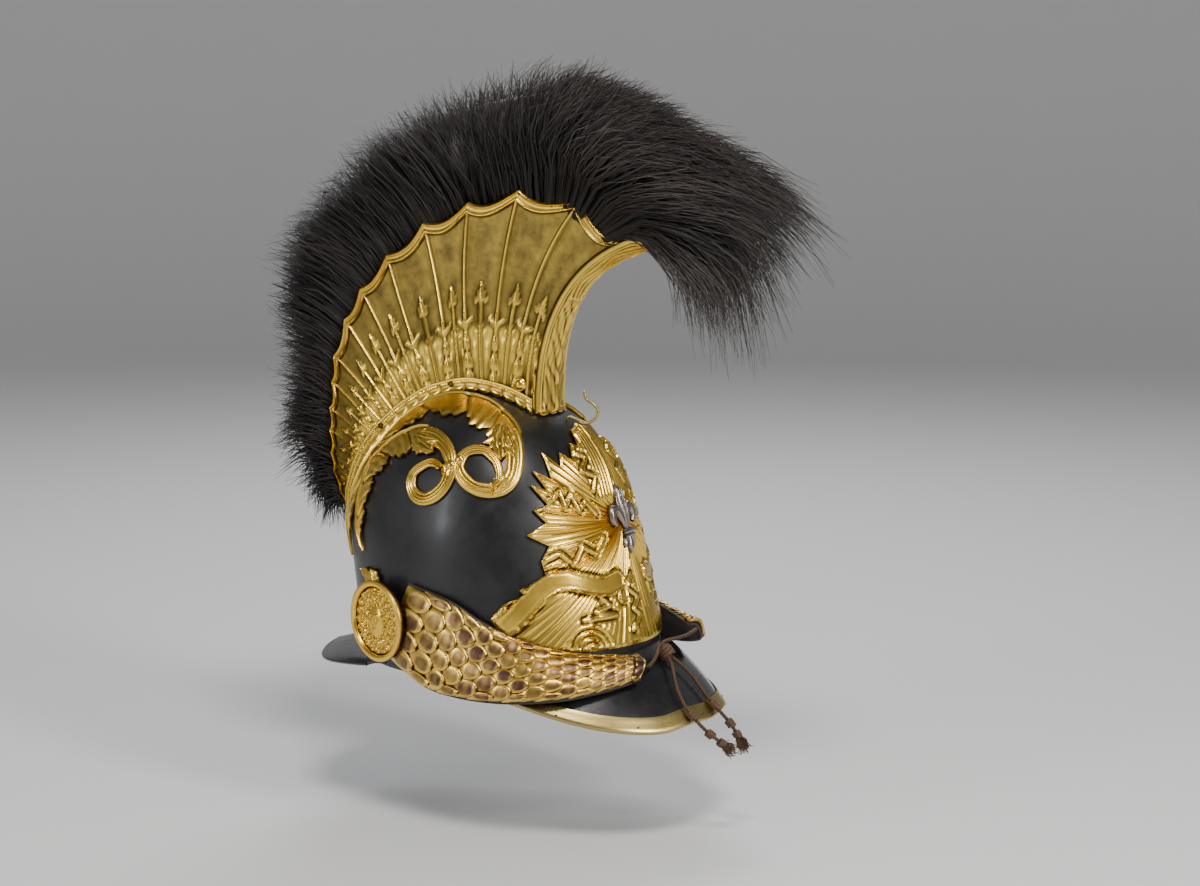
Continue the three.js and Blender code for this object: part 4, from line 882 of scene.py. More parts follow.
def make_peak():
    across, out = np.meshgrid(np.linspace(-1, 1, 121), np.linspace(0, 1, 25))
    dimple = 0.25 * np.sin(9 * across + 3 * out) * np.sin(5 * out)
    peak = Casting()
    peak.add_sheet(peak_point(across, out, PEAK_THICK / 2 + dimple),
                   thin(peak_point(across, out, dimple - PEAK_THICK / 2), 9))
    peak.finish("leather_peak", ["peak"], "skull_leather", peak_lacquer)


def make_peak_edging():
    """The brass channel folded round the peak's edge, with its pins."""
    run = np.linspace(-1, 1, 161)
    length = np.linalg.norm(peak_face(run, 1.0) - peak_face(run, 0.0), axis=-1)
    slack = GAP * (1 + 2 * run**8)
    start = np.minimum(BAND_WIDE / length, 0.7) * length
    hold = PEAK_THICK / 2 + slack
    outside, inside = [], []
    for step in np.linspace(0, 1, 6):
        swell = 0.25 * ridge(step - 0.12, 0.1)
        outside.append((-start * (1 - step), hold + BAND_THICK + swell))
        inside.append((-start * (1 - step), hold))
    for angle in np.radians([60, 30, 0, -30, -60]):
        outside.append((np.cos(angle) * (slack + BAND_THICK), np.sin(angle) * (hold + BAND_THICK)))
        inside.append((np.cos(angle) * slack, np.sin(angle) * hold))
    for step in np.linspace(1, 0, 6):
        outside.append((-start * (1 - step), -hold - BAND_THICK))
        inside.append((-start * (1 - step), -hold))
    cover, hollow = [np.stack([peak_point(run, 1 + d / length, h + 0 * run) for d, h in lines])
                     for lines in (outside, inside)]
    band = Casting()
    band.add_sheet(cover, hollow, raised=0.75, bright=0.8)
    piece = band.make("peak_edging")
    pins = []
    for at in (-0.62, -0.3, 0.06, 0.4, 0.7):
        spot = peak_point(np.array([at]), np.array([0.955]), np.array([PEAK_THICK / 2 + 0.9]))[0]
        pins.append(turn_fitting("pin", [(1.1, -0.3), (1.1, 0.3), (0.7, 0.55), (0.1, 0.62)], spot,
                                 (0, -0.3, 1), 12, 0.25, 0.3))
    join_up(piece, pins)
    dress(piece, ["peak_band"], rim_brass)


GUARD_SIDE = [0.00, 0.26, 0.50, 0.72, 0.90, 1.00, 1.05]
GUARD_BACK = [1.00, 0.965, 0.91, 0.84, 0.745, 0.63, 0.46]
GUARD_THICK, GUARD_TURN, GUARD_HALF_WIDTH, GUARD_REACH, GUARD_DROP = 2.2, 60, 82, 149, 6


def make_neck_guard():
    across, out = np.meshgrid(np.linspace(-1, 1, 81), np.linspace(0, 1, 15))
    sideways = np.abs(across) * (len(GUARD_SIDE) - 1)
    root = skull_point(180 + across * GUARD_TURN, GUARD_THICK, SEAT_GAP)
    edge = stack(np.sign(across) * curve(GUARD_SIDE, sideways) * GUARD_HALF_WIDTH,
                 curve(GUARD_BACK, sideways) * GUARD_REACH, -GUARD_DROP * (1 - across**2))
    middle = mix(root, edge, out[..., None])
    middle[..., 2] += 1.2 * np.sin(np.pi * out)
    rise = np.array([0, 0, GUARD_THICK / 2])
    guard = Casting()
    guard.add_sheet(middle + rise, thin(middle - rise, 6))
    rim = mix(root[-1], edge[-1], 1.004)
    guard.add_rod(rim, 1.35, 8)
    guard.finish("leather_neck_guard", ["neck_guard"], "skull_leather", peak_lacquer)


# Front plate

BADGE_UP = 107.0
PLATE_GAP = 1.3
# Millimetres for each degree of turn, on the plate and under the badge
TURN_MM, BADGE_TURN_MM = 1.8, 1.69
PLATE_EDGE = np.array([
    (0, .865), (5, .855), (9, .85), (13, .80), (18, .81), (22, .755), (28, .785), (31, .73), (38, .79),
    (37, .70), (46, .735), (40, .665), (48, .69), (41, .62), (48, .605), (43, .56), (52, .52), (43, .48),
    (47, .43), (46, .38), (57, .33), (54, .30), (64, .28), (69, .23), (66, .17), (58, .12), (49, .103),
    (39, .103), (29, .103), (19, .103), (9, .103),
])
# Bolts of lightning, the ribbon and the waves, in degrees of turn and millimetres up. The middle
# bolt lies on the near side only.
BOLTS = [
    [(12, 166), (21, 158), (12, 153), (19, 145), (11, 140), (15, 131)],
    [(49, 119), (42, 125), (34, 133), (33, 122), (29, 130), (26, 119), (22, 124), (17, 115)],
    [(51, 79), (46, 86), (39, 91), (33, 82), (28, 94), (22, 88), (16, 98)],
    [(33, 42.5), (18, 43.5), (27, 47), (20, 51), (24, 58)],
]
MIDDLE_BOLT = [(10, 31), (3, 40), (7, 45), (2, 52), (8, 60), (3, 69)]
RIBBON = [(63, 41), (57, 52), (50, 64), (43, 72), (37, 72), (31, 69), (25, 66), (19, 64.5), (13, 67)]
RIBBON_FOLD = [(12.5, 67), (10.5, 60), (12, 54)]
RIBBON_HALF, RIBBON_FOLD_HALF = 7.6, 4.5
ROLL_TURN, ROLL_UP = 66.5, 47.0
WAVES_TURN, WAVES_UP = 31.8, 20


def lay_bolt(height, sideways, up, bolt):
    """A bolt of lightning with an arrow at its first corner, in a sunk bed."""
    corners = np.array(bolt, float) * [TURN_MM, 1]
    away, _ = near_path(sideways, up, corners.tolist())
    sunk = ease((4.6 - away) / 1.4)
    height = mix(height, np.minimum(height, 1.1), sunk * 0.9)
    bar = np.clip((2.0 - away) / 1.1, 0, 1)
    height = np.maximum(height, 1.2 + 2.0 * ease(bar))
    tip = corners[0] - corners[1]
    tip = tip / np.hypot(*tip)
    dx, dy = sideways - corners[0][0], up - corners[0][1]
    ahead = dx * tip[0] + dy * tip[1]
    offside = np.abs(dx * tip[1] - dy * tip[0])
    head = (ahead > -5.5) & (ahead < 3.2)
    width = np.clip(3.2 - ahead, 0, 9) * 0.45
    arrow = np.where(head, np.clip((width - offside) / 1.0, 0, 1), 0)
    return np.maximum(height, 1.2 + 2.2 * arrow)


def lay_ribbon(height, bright, x, up):
    """The plain ribbon with raised borders, its folded end and its roll."""
    for path, half, level in ((RIBBON_FOLD, RIBBON_FOLD_HALF, 2.0), (RIBBON, RIBBON_HALF, 3.0)):
        gap, run = near_path(np.abs(x), up, (np.array(path) * [TURN_MM, 1]).tolist())
        inside = ease((half - gap) / 0.7)
        height = height - 1.2 * ridge(gap - half - 0.8, 0.8) * (1 - inside)
        wave = 0.7 * np.sin(run * 0.11 + 0.6)
        border = 1.1 * ridge(gap - half + 1.1, 0.6) - 0.5 * ridge(gap - half + 2.6, 0.6)
        height = mix(height, level + wave + border, inside)
        bright = mix(bright, 0.55 + 0.4 * ridge(gap - half + 1.1, 0.9), inside)
    roll = np.hypot(np.abs(x) - ROLL_TURN * TURN_MM, (up - ROLL_UP) * 0.8)
    curl = ease((8.5 - roll) / 1.2) * (1 - inside)
    return mix(height, 3.4 + 0.9 * np.cos(roll * 1.7), curl), bright, inside


def plate_relief(turn, up, at):
    """How high the plate stands and how bright it is; at counts the border's corners."""
    side = np.abs(turn)
    x, y = turn * TURN_MM, up - BADGE_UP
    reach = np.hypot(x, y)
    # beams that end in the border's points, each a roof of straight flutes
    from_tip = np.minimum(at % 2, 2 - at % 2)
    step = np.floor((at + 1) / 2) % 2
    per = np.where(at < 24, 2.5, 3.0)
    flute = np.abs((from_tip * per + 0.5) % 1 * 2 - 1)
    swell = np.clip(reach / 24, 0.2, 1)
    height = 1.0 + swell * (0.9 * (1 - from_tip) + 1.25 * flute + 0.6 * step * (1 - from_tip**6))
    bright = 0.55 + 0.40 * flute
    # the long leaf above the badge
    tongue = ease((16 + 3 * np.sin(np.clip((up - 120) / 50, 0, 1) * np.pi) - side) / 1.6)
    tongue = tongue * ease((up - 122) / 6)
    vein = np.abs(((side * 1.1 + 0.06 * (up - 120)) / 2.6) % 1 * 2 - 1)
    leaf = 2.0 + 1.1 * vein + 1.0 * ridge(side, 1.6)
    height = mix(height, leaf, tongue)
    for bolt in BOLTS:
        height = lay_bolt(height, np.abs(x), up, bolt)
    height = lay_bolt(height, x, up, MIDDLE_BOLT)
    height, bright, ribbon = lay_ribbon(height, bright, x, up)
    # waves under the ribbon
    wave_reach = np.hypot(np.abs(x) - WAVES_TURN * TURN_MM, (up - WAVES_UP) * 0.95)
    arch = ease((19.5 - wave_reach) / 1.0) * (1 - ribbon)
    height = mix(height, 1.9 + 1.1 * np.cos(wave_reach * 2 * np.pi / 4.4), arch)
    # rolled lower edge with beads
    roll_edge = ridge(up - 22.2, 1.1)
    beads = 0.7 + 0.3 * np.cos(x * 2 * np.pi / 3.0)
    height = mix(height, 2.5 * beads + 0.6, roll_edge)
    # plain bed round the badge
    bed = ease((15 - reach) / 6)
    height = mix(height, 1.4 + 0.5 * flute, bed)
    return height, bright


def make_front_plate():
    half = PLATE_EDGE
    foot = np.array([(0, .103)])
    edge = np.concatenate([half, foot, (half[1:] * [-1, 1])[::-1]])
    ring = np.concatenate([edge, edge[:1]])
    per = 9
    at = np.arange((len(ring) - 1) * per) / per
    base = at.astype(int)
    part = at - base
    border = ring[base] + (ring[base + 1] - ring[base]) * part[:, None]
    share = np.linspace(0, 1, 78)[:, None] ** 0.9
    turn = border[None, :, 0] * share
    up = mix(BADGE_UP, border[None, :, 1] * SKULL_HEIGHT, share)
    corner = np.minimum(at, len(ring) - 1 - at)[None, :] + 0 * share
    height, bright = plate_relief(turn, up, corner)
    rim = ease((share - 0.97) / 0.03)
    height = mix(height, np.minimum(height, 1.7), rim)
    top = skull_point(turn, up, PLATE_GAP + height * 0.95)
    low_share = np.linspace(0, 1, 4)[:, None]
    under = skull_point(border[None, :, 0] * low_share,
                        mix(BADGE_UP, border[None, :, 1] * SKULL_HEIGHT, low_share), PLATE_GAP)
    plate = Casting()
    plate.add_sheet(top, under, wrap=True, raised=proud(height, 3, 1.9, True) + 0.06, bright=bright)
    plate.finish("rayed_plate", ["front_plate"], "plate_brass", plate_gilt, corner=60)


def badge_limb(casting, route, widths, deep, lines=0, lift=4.6):
    """A rounded limb of the lily along a route of side and up, laid on the plate."""
    route = np.array(route, float)
    rings, sides = 26, 20
    place = np.linspace(0, len(route) - 1, rings)
    half = np.maximum(curve(widths, place), 0.05)
    spine = np.stack([curve(route[:, 0], place), curve(route[:, 1], place)], -1)
    ahead = unit(np.gradient(spine, axis=0))
    normal = np.stack([-ahead[:, 1], ahead[:, 0]], -1)
    angle = np.linspace(0, 2 * np.pi, sides, endpoint=False)
    ripple = 1 + 0.10 * np.cos(angle * lines) if lines else np.ones_like(angle)
    aside = np.cos(angle)[None, :] * half[:, None]
    out = np.sin(angle)[None, :] * np.minimum(half, deep)[:, None] * ripple
    flat = spine[:, None, :] + normal[:, None, :] * aside[..., None]
    body = skull_point(-flat[..., 0] / BADGE_TURN_MM, BADGE_UP + flat[..., 1], lift + out)
    start, end = body[:1].mean(1, keepdims=True), body[-1:].mean(1, keepdims=True)
    body = np.concatenate([np.repeat(start, sides, 1), body, np.repeat(end, sides, 1)])
    # tone is highest on each limb's outer face and falls to nothing under it and at its ends, so the finish
    # paints shade along the limb's sides and underside
    tone = np.concatenate([[0], np.full(rings, 1), [0]])[:, None] * (0.45 + 0.5 * np.sin(angle))[None, :]
    casting.add(body, grid_faces(len(body), sides, True), np.clip(tone, 0.05, 1) * 0.8, 0.6)


def make_badge():
    lily = Casting()
    badge_limb(lily, [(0, 25), (0, 20), (0, 12), (0, 4), (0, -7)], [0.4, 4.2, 5.6, 4.2, 2.6], 4.2, 8)
    for hand in (-1, 1):
        badge_limb(lily, [(hand * 1.6, -6), (hand * 4, 1), (hand * 8, 7.5), (hand * 13.5, 7),
                          (hand * 15, 1), (hand * 12, -3)],
                   [1.8, 2.4, 3.3, 3.5, 2.7, 1.2], 3.2, 6)
        badge_limb(lily, [(hand * 2, -9), (hand * 4.2, -13), (hand * 6.6, -16.5), (hand * 6.2, -19)],
                   [1.5, 1.9, 1.8, 0.6], 2.2, 4)
        badge_limb(lily, [(hand * 4.4, 17), (hand * 6.0, 11), (hand * 4.6, 4)], [0.3, 1.1, 0.4], 1.4, 0, 6.0)
    for row in range(5):
        for place in np.linspace(-1, 1, 3 + row % 2):
            spot_side = place * (3.2 - abs(row - 1.5) * 0.7)
            rise = np.linspace(-0.98, 0.98, 7)
            heights = 9.0 - abs(spot_side) * 0.45 + rise * 0.9
            bead = skull_point(-spot_side / BADGE_TURN_MM, BADGE_UP + 6 + row * 3.4, heights)
            lily.add_rod(bead, 0.95 * np.sqrt(1 - rise**2), 7, raised=0.9, bright=0.8)
    badge_limb(lily, [(0, -7), (0, -13), (0, -19), (0, -24.5)], [2.2, 2.2, 3.1, 0.4], 2.6, 6)
    badge_limb(lily, [(-8, -8.5), (-3, -8), (0, -7.8), (3, -8), (8, -8.5)], [1.6, 2.1, 2.4, 2.1, 1.6],
               3.0, 0, 6.4)
    badge_limb(lily, [(-6.8, -11.6), (0, -11.0), (6.8, -11.6)], [1.0, 1.3, 1.0], 1.6, 0, 6.4)
    lily.finish("silver_lily", ["fleur_de_lis"], "dark_silver", dark_silver)


# Comb

COMB_REACH, COMB_HEIGHT = 145, 346
COMB_FOOT_HALF, COMB_TOP_HALF, COMB_SHEET = 20.0, 14.0, 1.2
FOOT_BAND_HEIGHT = 8.0
HORN_TIP = (-136.0, 300.0)
# Each rib's top, middle and foot, as shares of the comb's reach back and its height
COMB_RIBS = np.array([
    (0.90, 0.285, 0.86, 0.285, 0.84, 0.285), (0.945, 0.327, 0.90, 0.325, 0.83, 0.322),
    (0.985, 0.370, 0.91, 0.360, 0.81, 0.355), (1.00, 0.412, 0.91, 0.395, 0.78, 0.390),
    (1.005, 0.462, 0.90, 0.435, 0.75, 0.415), (1.005, 0.510, 0.88, 0.480, 0.71, 0.440),
    (0.99, 0.570, 0.86, 0.530, 0.66, 0.466), (0.975, 0.628, 0.82, 0.580, 0.60, 0.490),
    (0.905, 0.708, 0.76, 0.640, 0.53, 0.512), (0.805, 0.778, 0.66, 0.690, 0.45, 0.533),
    (0.64, 0.853, 0.54, 0.740, 0.36, 0.552), (0.42, 0.925, 0.29, 0.770, 0.25, 0.570),
    (0.15, 0.971, 0.20, 0.800, 0.12, 0.577), (-0.145, 1.00, -0.01, 0.810, -0.01, 0.572),
    (-0.495, 0.98, -0.17, 0.830, -0.13, 0.555), (-0.725, 0.90, -0.235, 0.815, -0.25, 0.530),
]) * ([COMB_REACH, COMB_HEIGHT] * 3)
LAST_RIB = len(COMB_RIBS) - 1


def comb_line(rib, share):
    rib, share = np.broadcast_arrays(np.asarray(rib, float), np.asarray(share, float))
    back = [curve(COMB_RIBS[:, column], rib) for column in (4, 2, 0)]
    up = [curve(COMB_RIBS[:, column], rib) for column in (5, 3, 1)]
    left = 1 - share
    weights = (left * left, 2 * left * share, share * share)
    return stack(0.0, sum(w * v for w, v in zip(weights, back)), sum(w * v for w, v in zip(weights, up)))


def comb_half(share):
    return mix(COMB_FOOT_HALF, COMB_TOP_HALF, share)


def comb_point(rib, share, lift):
    """A point of the comb's right side, lifted off its sheet."""
    point = comb_line(rib, share)
    point[..., 0] = -(comb_half(share) + lift)
    foot = comb_line(rib, 0 * share)
    foot[..., 0] = -COMB_FOOT_HALF
    settle = on_skull(foot[0], SEAT_GAP) - foot[0]
    return point + settle[None] * np.clip(1 - share / 0.26, 0, 1)[..., None]


def comb_length(rib):
    return np.linalg.norm(comb_line(rib, 1.0) - comb_line(rib, 0.0), axis=-1)


def scallop(rib):
    start = np.minimum(np.floor(rib), LAST_RIB - 1)
    between = rib - start
    span = np.linalg.norm(comb_line(start, 1.0) - comb_line(start + 1, 1.0), axis=-1)
    return 1 - 4 * between * (1 - between) * 0.2 * span / comb_length(rib)


def comb_field(part, up, by_rib, to_edge, zone):
    """The dished field with its fine ribs, and the double moulding along the scalloped edge."""
    height = 0.3 - 1.9 * 4 * part * (1 - part) * ease(to_edge / 18)
    bright = 0.10 + 0.75 * ease((zone + 4 - up) / 9) + 0.12 * ease((14 - by_rib) / 14)
    rib_line = ridge(by_rib, 0.85) * ease(to_edge / 3)
    height = height + 1.5 * rib_line
    bright = np.maximum(bright, rib_line * 0.85)
    flange = ease((9.6 - to_edge) / 1.0)
    height = mix(height, 0.7 + 0.10 * to_edge, flange)
    height = height + 1.6 * ridge(to_edge - 1.6, 1.1) + 1.5 * ridge(to_edge - 8.0, 1.2)
    bright = np.maximum(bright, (0.70 + 0.25 * ridge(to_edge - 1.6, 1.5)) * ease((10.2 - to_edge) / 1.2))
    return height, bright


def lay_spears(height, bright, up, by_middle, cell, zone, tip):
    """Spears between the ribs, each in a pointed panel."""
    panel_half = np.minimum(cell * 0.30, 5.2) * np.sqrt(np.clip((zone + 5 - up) / 20, 0, 1))
    panel = ridge(by_middle - panel_half, 0.6) * (up < zone + 4.5)
    height = np.maximum(height, -0.3 + 1.5 * panel)
    height = np.where((by_middle < panel_half) & (up < zone + 4), np.maximum(height, -0.6), height)
    bright = np.maximum(bright, panel * 0.8)
    shaft = np.sqrt(np.clip(1 - (by_middle / 1.3) ** 2, 0, 1)) * (up < tip - 9)
    height = np.maximum(height, -1.0 + 2.6 * shaft)
    back = (tip - up) / 13.0
    head_half = 4.1 * np.clip(back, 0, 1)
    base = 1 + 0.30 * by_middle / 4.1
    head = (back > 0) & (back < base) & (by_middle < head_half)
    roof = 0.9 + 1.0 * np.clip(1 - by_middle / np.maximum(head_half, 0.2), 0, 1)
    height = np.where(head, np.maximum(height, roof), height)
    return height, np.maximum(bright, np.maximum(shaft * 0.9, head * 1.0))


def lay_husks(height, bright, up, by_rib, cell, zone):
    """Husks up the ribs, growing towards the foot, with three leaves on top."""
    for number in range(3):
        centre = zone * (0.17 + 0.28 * number)
        half_long = zone * (0.17 - 0.02 * number)
        half_wide = np.minimum(4.4 - 1.0 * number, cell * 0.22)
        run = (up - centre) / half_long
        husk = dome(run, by_rib / (half_wide * (1 - 0.35 * run)))
        height = np.maximum(height, 0.1 + 2.4 * husk - 0.9 * ridge(by_rib, 0.4) * (husk > 0))
        bright = np.maximum(bright, 0.9 * (husk > 0.2))
    for ahead, aside, wide in ((8.0, 0.0, 1.3), (6.5, 6.0, 1.3)):
        gap, _ = near_path(by_rib, up - zone, [(0, -2), (aside * 0.45, ahead * 0.35), (aside, ahead)])
        leaf = np.sqrt(np.clip(1 - (gap / wide) ** 2, 0, 1))
        height = np.maximum(height, 0.1 + 1.9 * leaf)
        bright = np.maximum(bright, leaf)
    return height, bright


def comb_relief(rib, share, edge_share):
    """How high the comb's side stands and how bright it is, in sizes that shrink with short ribs."""
    start = np.minimum(np.floor(rib), LAST_RIB - 1)
    part = rib - start
    width = np.linalg.norm(comb_line(start + 1, share) - comb_line(start, share), axis=-1)
    length = comb_length(rib)
    small = np.clip(length / 95, 0.28, 1)
    by_rib = np.minimum(part, 1 - part) * width / small
    by_middle = np.abs(part - 0.5) * width / small
    cell = width / small
    to_edge = (edge_share - share) * length / small
    up = share * length / small
    tip = length / small * edge_share * mix(0.60, 0.40, rib / LAST_RIB) + 17
    zone = tip - 34
    height, bright = comb_field(part, up, by_rib, to_edge, zone)
    height, bright = lay_spears(height, bright, up, by_middle, cell, zone, tip)
    height, bright = lay_husks(height, bright, up, by_rib, cell, zone)
    return np.clip(height, -1.8, 2.9), np.clip(bright, 0, 1)


def make_comb_sides():
    per = 18
    step = np.arange(LAST_RIB * per + 1) / per
    part = step - np.floor(step)
    rib = np.floor(step) + part - 0.5 * np.sin(4 * np.pi * part) / (4 * np.pi)
    rib = np.minimum(rib, LAST_RIB)[None, :]
    v = np.linspace(0, 1, 94)[:, None]
    length = comb_length(rib)
    border = np.minimum(11.5 / length, 0.4)
    bend = 0.80
    run = np.where(v < bend, v / bend * (1 - border), 1 - border + (v - bend) / (1 - bend) * border)
    edge_share = scallop(rib)
    share = run * edge_share
    rib = np.broadcast_to(rib, share.shape)
    height, bright = comb_relief(rib, share, np.broadcast_to(edge_share, share.shape))
    side = Casting()
    side.add_sheet(comb_point(rib, share, height),
                   thin(comb_point(rib, share, 0 * height - 2.7), 7),
                   raised=proud(height, 3, 2.6), bright=bright)
    piece = side.make("comb_side_right", 65)
    dress_pair(piece, "comb_side_left", ["comb_panel_right"], ["comb_panel_left"], comb_gilt)


def strip_point(across, share, lift):
    inside = np.minimum(share, 1.0)
    ahead = comb_line(LAST_RIB, inside) - comb_line(LAST_RIB, np.maximum(inside - 0.03, -0.02))
    forward = unit(stack(0.0, -ahead[..., 2], ahead[..., 1]))
    bulge = mix(4, 9, inside**2) * (1 - across**2)
    point = comb_line(LAST_RIB, inside) + forward * (0.7 + bulge + lift)[..., None]
    point[..., 0] = across * (comb_half(inside) + 1.0)
    settle = on_skull(point[0], SEAT_GAP + lift[0]) - point[0]
    point = point + settle[None] * np.clip(1 - inside / 0.26, 0, 1)[..., None]
    beyond = np.clip((share - 1) / 0.22, 0, 1)
    horn = stack(across * 1.2, HORN_TIP[0], HORN_TIP[1] + lift)
    control = point + ease(1.0) * unit(ahead) * 12
    left = (1 - beyond)[..., None]
    bent = left**2 * point + 2 * left * beyond[..., None] * control + beyond[..., None] ** 2 * horn
    return np.where((share > 1)[..., None], bent, point)


def make_comb_front():
    across, share = np.meshgrid(np.linspace(-1, 1, 57), np.linspace(0, 1.22, 200))
    side = np.abs(across)
    height = 0.25 + 1.4 * ridge(side - 0.93, 0.05) + 0.9 * ridge(side - 0.79, 0.035)
    body = ease((0.72 - side) / 0.04)
    # leaves that flicker up and out from a middle stem, over long wavy flutes
    cell = (share * 11 - side * 2.4 + 0.12 * np.sin(share * 40)) % 1
    leaf = np.sin(np.pi * cell) ** 0.7 * (1 - 0.4 * side)
    flute = np.abs((side * 4.5 + 0.35 * np.sin(share * 26)) % 1 * 2 - 1)
    upper = ease((share - 0.52) / 0.08)
    height = height + body * mix(1.3 * leaf + 0.6 * flute, 1.4 * flute, upper)
    height = height + 1.2 * ridge(side, 0.06) + 0.8 * ridge(share - 0.55, 0.012) * body
    raised = proud(height, 3, 2.0)
    strip = Casting()
    strip.add_sheet(strip_point(across, share, height),
                    thin(strip_point(across, share, 0 * height - 0.5), 40, 9),
                    raised=raised, bright=0.62 + 0.3 * raised)
    strip.finish("comb_front_strip", ["comb_front"], "comb_brass", comb_gilt, corner=65)


def foot_band(low, high, outward):
    """A band between a low and a high line: petals below, a milled line above them."""
    v = np.linspace(0, 1, 11)[:, None]
    along = np.concatenate([[0], np.cumsum(np.linalg.norm(np.diff(low, axis=0), axis=1))])
    lobe = np.sqrt(np.abs(np.sin(np.pi * along / 10.5)))[None, :]
    base = mix(low[None], high[None], v[..., None])
    petal = (1.5 * lobe * ridge(v - 0.24, 0.27)) + 0.3
    milling = ridge(v - 0.70, 0.09) * (0.95 + 0.55 * np.cos(2 * np.pi * along / 1.7)[None, :])
    top_line = 0.9 * ridge(v - 0.93, 0.06)
    lift = petal + 1.2 * milling + top_line
    drop = (1 - lobe) * 2.4 * (1 - v) ** 2
    top = base + outward * lift[..., None] + np.array([0, 0, 1.0]) * drop[..., None]
    under = base - outward * 0.25 + np.array([0, 0, 1.0]) * drop[..., None]
    return top, under, np.clip(lift / 1.9, 0, 1)


def make_comb_foot():
    """The band along the comb's foot on each side, with its two screws."""
    rib = np.linspace(0.4, LAST_RIB - 0.04, 560)
    up = np.minimum(FOOT_BAND_HEIGHT / comb_length(rib), 0.7)
    near = 1.6 + GAP + 0.4
    high = comb_point(rib[None], up[None], near + 0.6)[0]
    low = comb_point(rib[None], 0 * up[None], near)[0]
    low[:, 0] = -(COMB_FOOT_HALF + near + 1.2)
    low = on_skull(low, SEAT_GAP)
    top, under, raised = foot_band(low, high, np.array([-1.0, 0, 0]))
    band = Casting()
    band.add_sheet(top, thin(under, 4), raised=raised, bright=0.8)
    piece = band.make("comb_foot_right")
    screws = []
    for at in (6.4, 11.2):
        share = FOOT_BAND_HEIGHT / comb_length(at) * 0.62
        spot = comb_point(np.array([[at]]), np.array([[share]]), 4.6)[0, 0]
        rows = [(2.3, -1.5), (2.3, 0), (1.7, 0.9), (0.1, 1.2)]
        screws.append(turn_fitting("screw", rows, spot, (-1, 0, 0.25), 20, 0.15, 0.3))
    join_up(piece, screws)
    dress_pair(piece, "comb_foot_left", ["comb_base_right"], ["comb_base_left"], plate_gilt)


def make_comb_studs():
    spot = comb_point(np.array([[LAST_RIB - 0.7]]), np.array([[0.08]]), 4.0)[0, 0]
    rows = [(5.0, -0.2), (5.2, 0.5), (4.6, 1.1), (4.1, 0.9), (3.7, 1.5), (2.4, 2.5), (1.1, 3.0), (0.1, 3.1)]
    boss = turn_fitting("comb_stud_right", rows, spot, (-1, 0, 0), 36, 0.9, 1.0)
    dress_pair(boss, "comb_stud_left", ["comb_boss_right"], ["comb_boss_left"], boss_gilt)


def make_comb_foot_front():
    """The short band across the front of the comb's foot."""
    across = np.linspace(-1, 1, 90)
    share = 0 * across
    near = COMB_SHEET + GAP + 0.6
    low = strip_point(across[None], share[None], share[None])[0]
    high = strip_point(across[None], share[None] + FOOT_BAND_HEIGHT / comb_length(LAST_RIB), share[None])[0]
    forward = np.array([0, -1.0, 0])
    low = on_skull(low + forward * (near + 1.0), SEAT_GAP)
    high = high + forward * (near + 0.3)
    top, under, raised = foot_band(low, high, forward)
    front = Casting()
    front.add_sheet(top, thin(under, 4), raised=raised, bright=0.6)
    front.finish("comb_foot_front", ["comb_foot"], "comb_brass", plate_gilt)


def make_comb_tail():
    across, up = np.meshgrid(np.linspace(-1, 1, 17), np.linspace(94.6, 8.2, 70))
    degrees = math.degrees(7 / SKULL_HALF_WIDTH)
    bead = 0.8 * ridge(np.abs(across) - 0.85, 0.12) + 0.5 * ridge(across, 0.25)
    tail = Casting()
    tail.add_sheet(skull_point(180 + across * degrees, up, SEAT_GAP + 0.9 + bead),
                   thin(skull_point(180 + across * degrees, up, SEAT_GAP), 0, 5),
                   raised=0.35 + bead * 0.6, bright=0.7)
    piece = tail.make("comb_tail_strip")
    screws = []
    for height in (30, 62):
        spot = skull_point(180.0, float(height), SEAT_GAP + 1.2)
        rows = [(2.4, -0.5), (2.4, 0.6), (1.6, 1.3), (0.1, 1.5)]
        screws.append(turn_fitting("screw", rows, spot, (0, 1, 0), 18, 0.6, 0.8))
    join_up(piece, screws)
    dress(piece, ["comb_tail"], plate_gilt)


# Hook, scrolls and medallions

HOOK_REACH, HOOK_WIRE_RADIUS = 23.0, 1.1
HOOK_FOOT = np.array([0, -0.43 * SKULL_FRONT, 0.885 * SKULL_HEIGHT])
HOOK_BENDS = np.array([(0.00, 0.00), (0.08, 0.12), (0.34, 0.06), (0.70, -0.04), (1.02, 0.12), (1.12, 0.38),
                       (0.94, 0.60), (0.70, 0.74), (0.62, 1.00)]) * HOOK_REACH


def make_hook():
    foot = on_skull(HOOK_FOOT, GAP)
    place = np.linspace(0, len(HOOK_BENDS) - 1, 60)
    spine = stack(0.0, foot[1] - curve(HOOK_BENDS[:, 0], place), foot[2] + curve(HOOK_BENDS[:, 1], place))
    wire = bend_wire("bent_hook", spine, HOOK_WIRE_RADIUS, 3, 0.7)
    smooth(wire)
    dress(wire, ["plume_hook"], rim_brass)


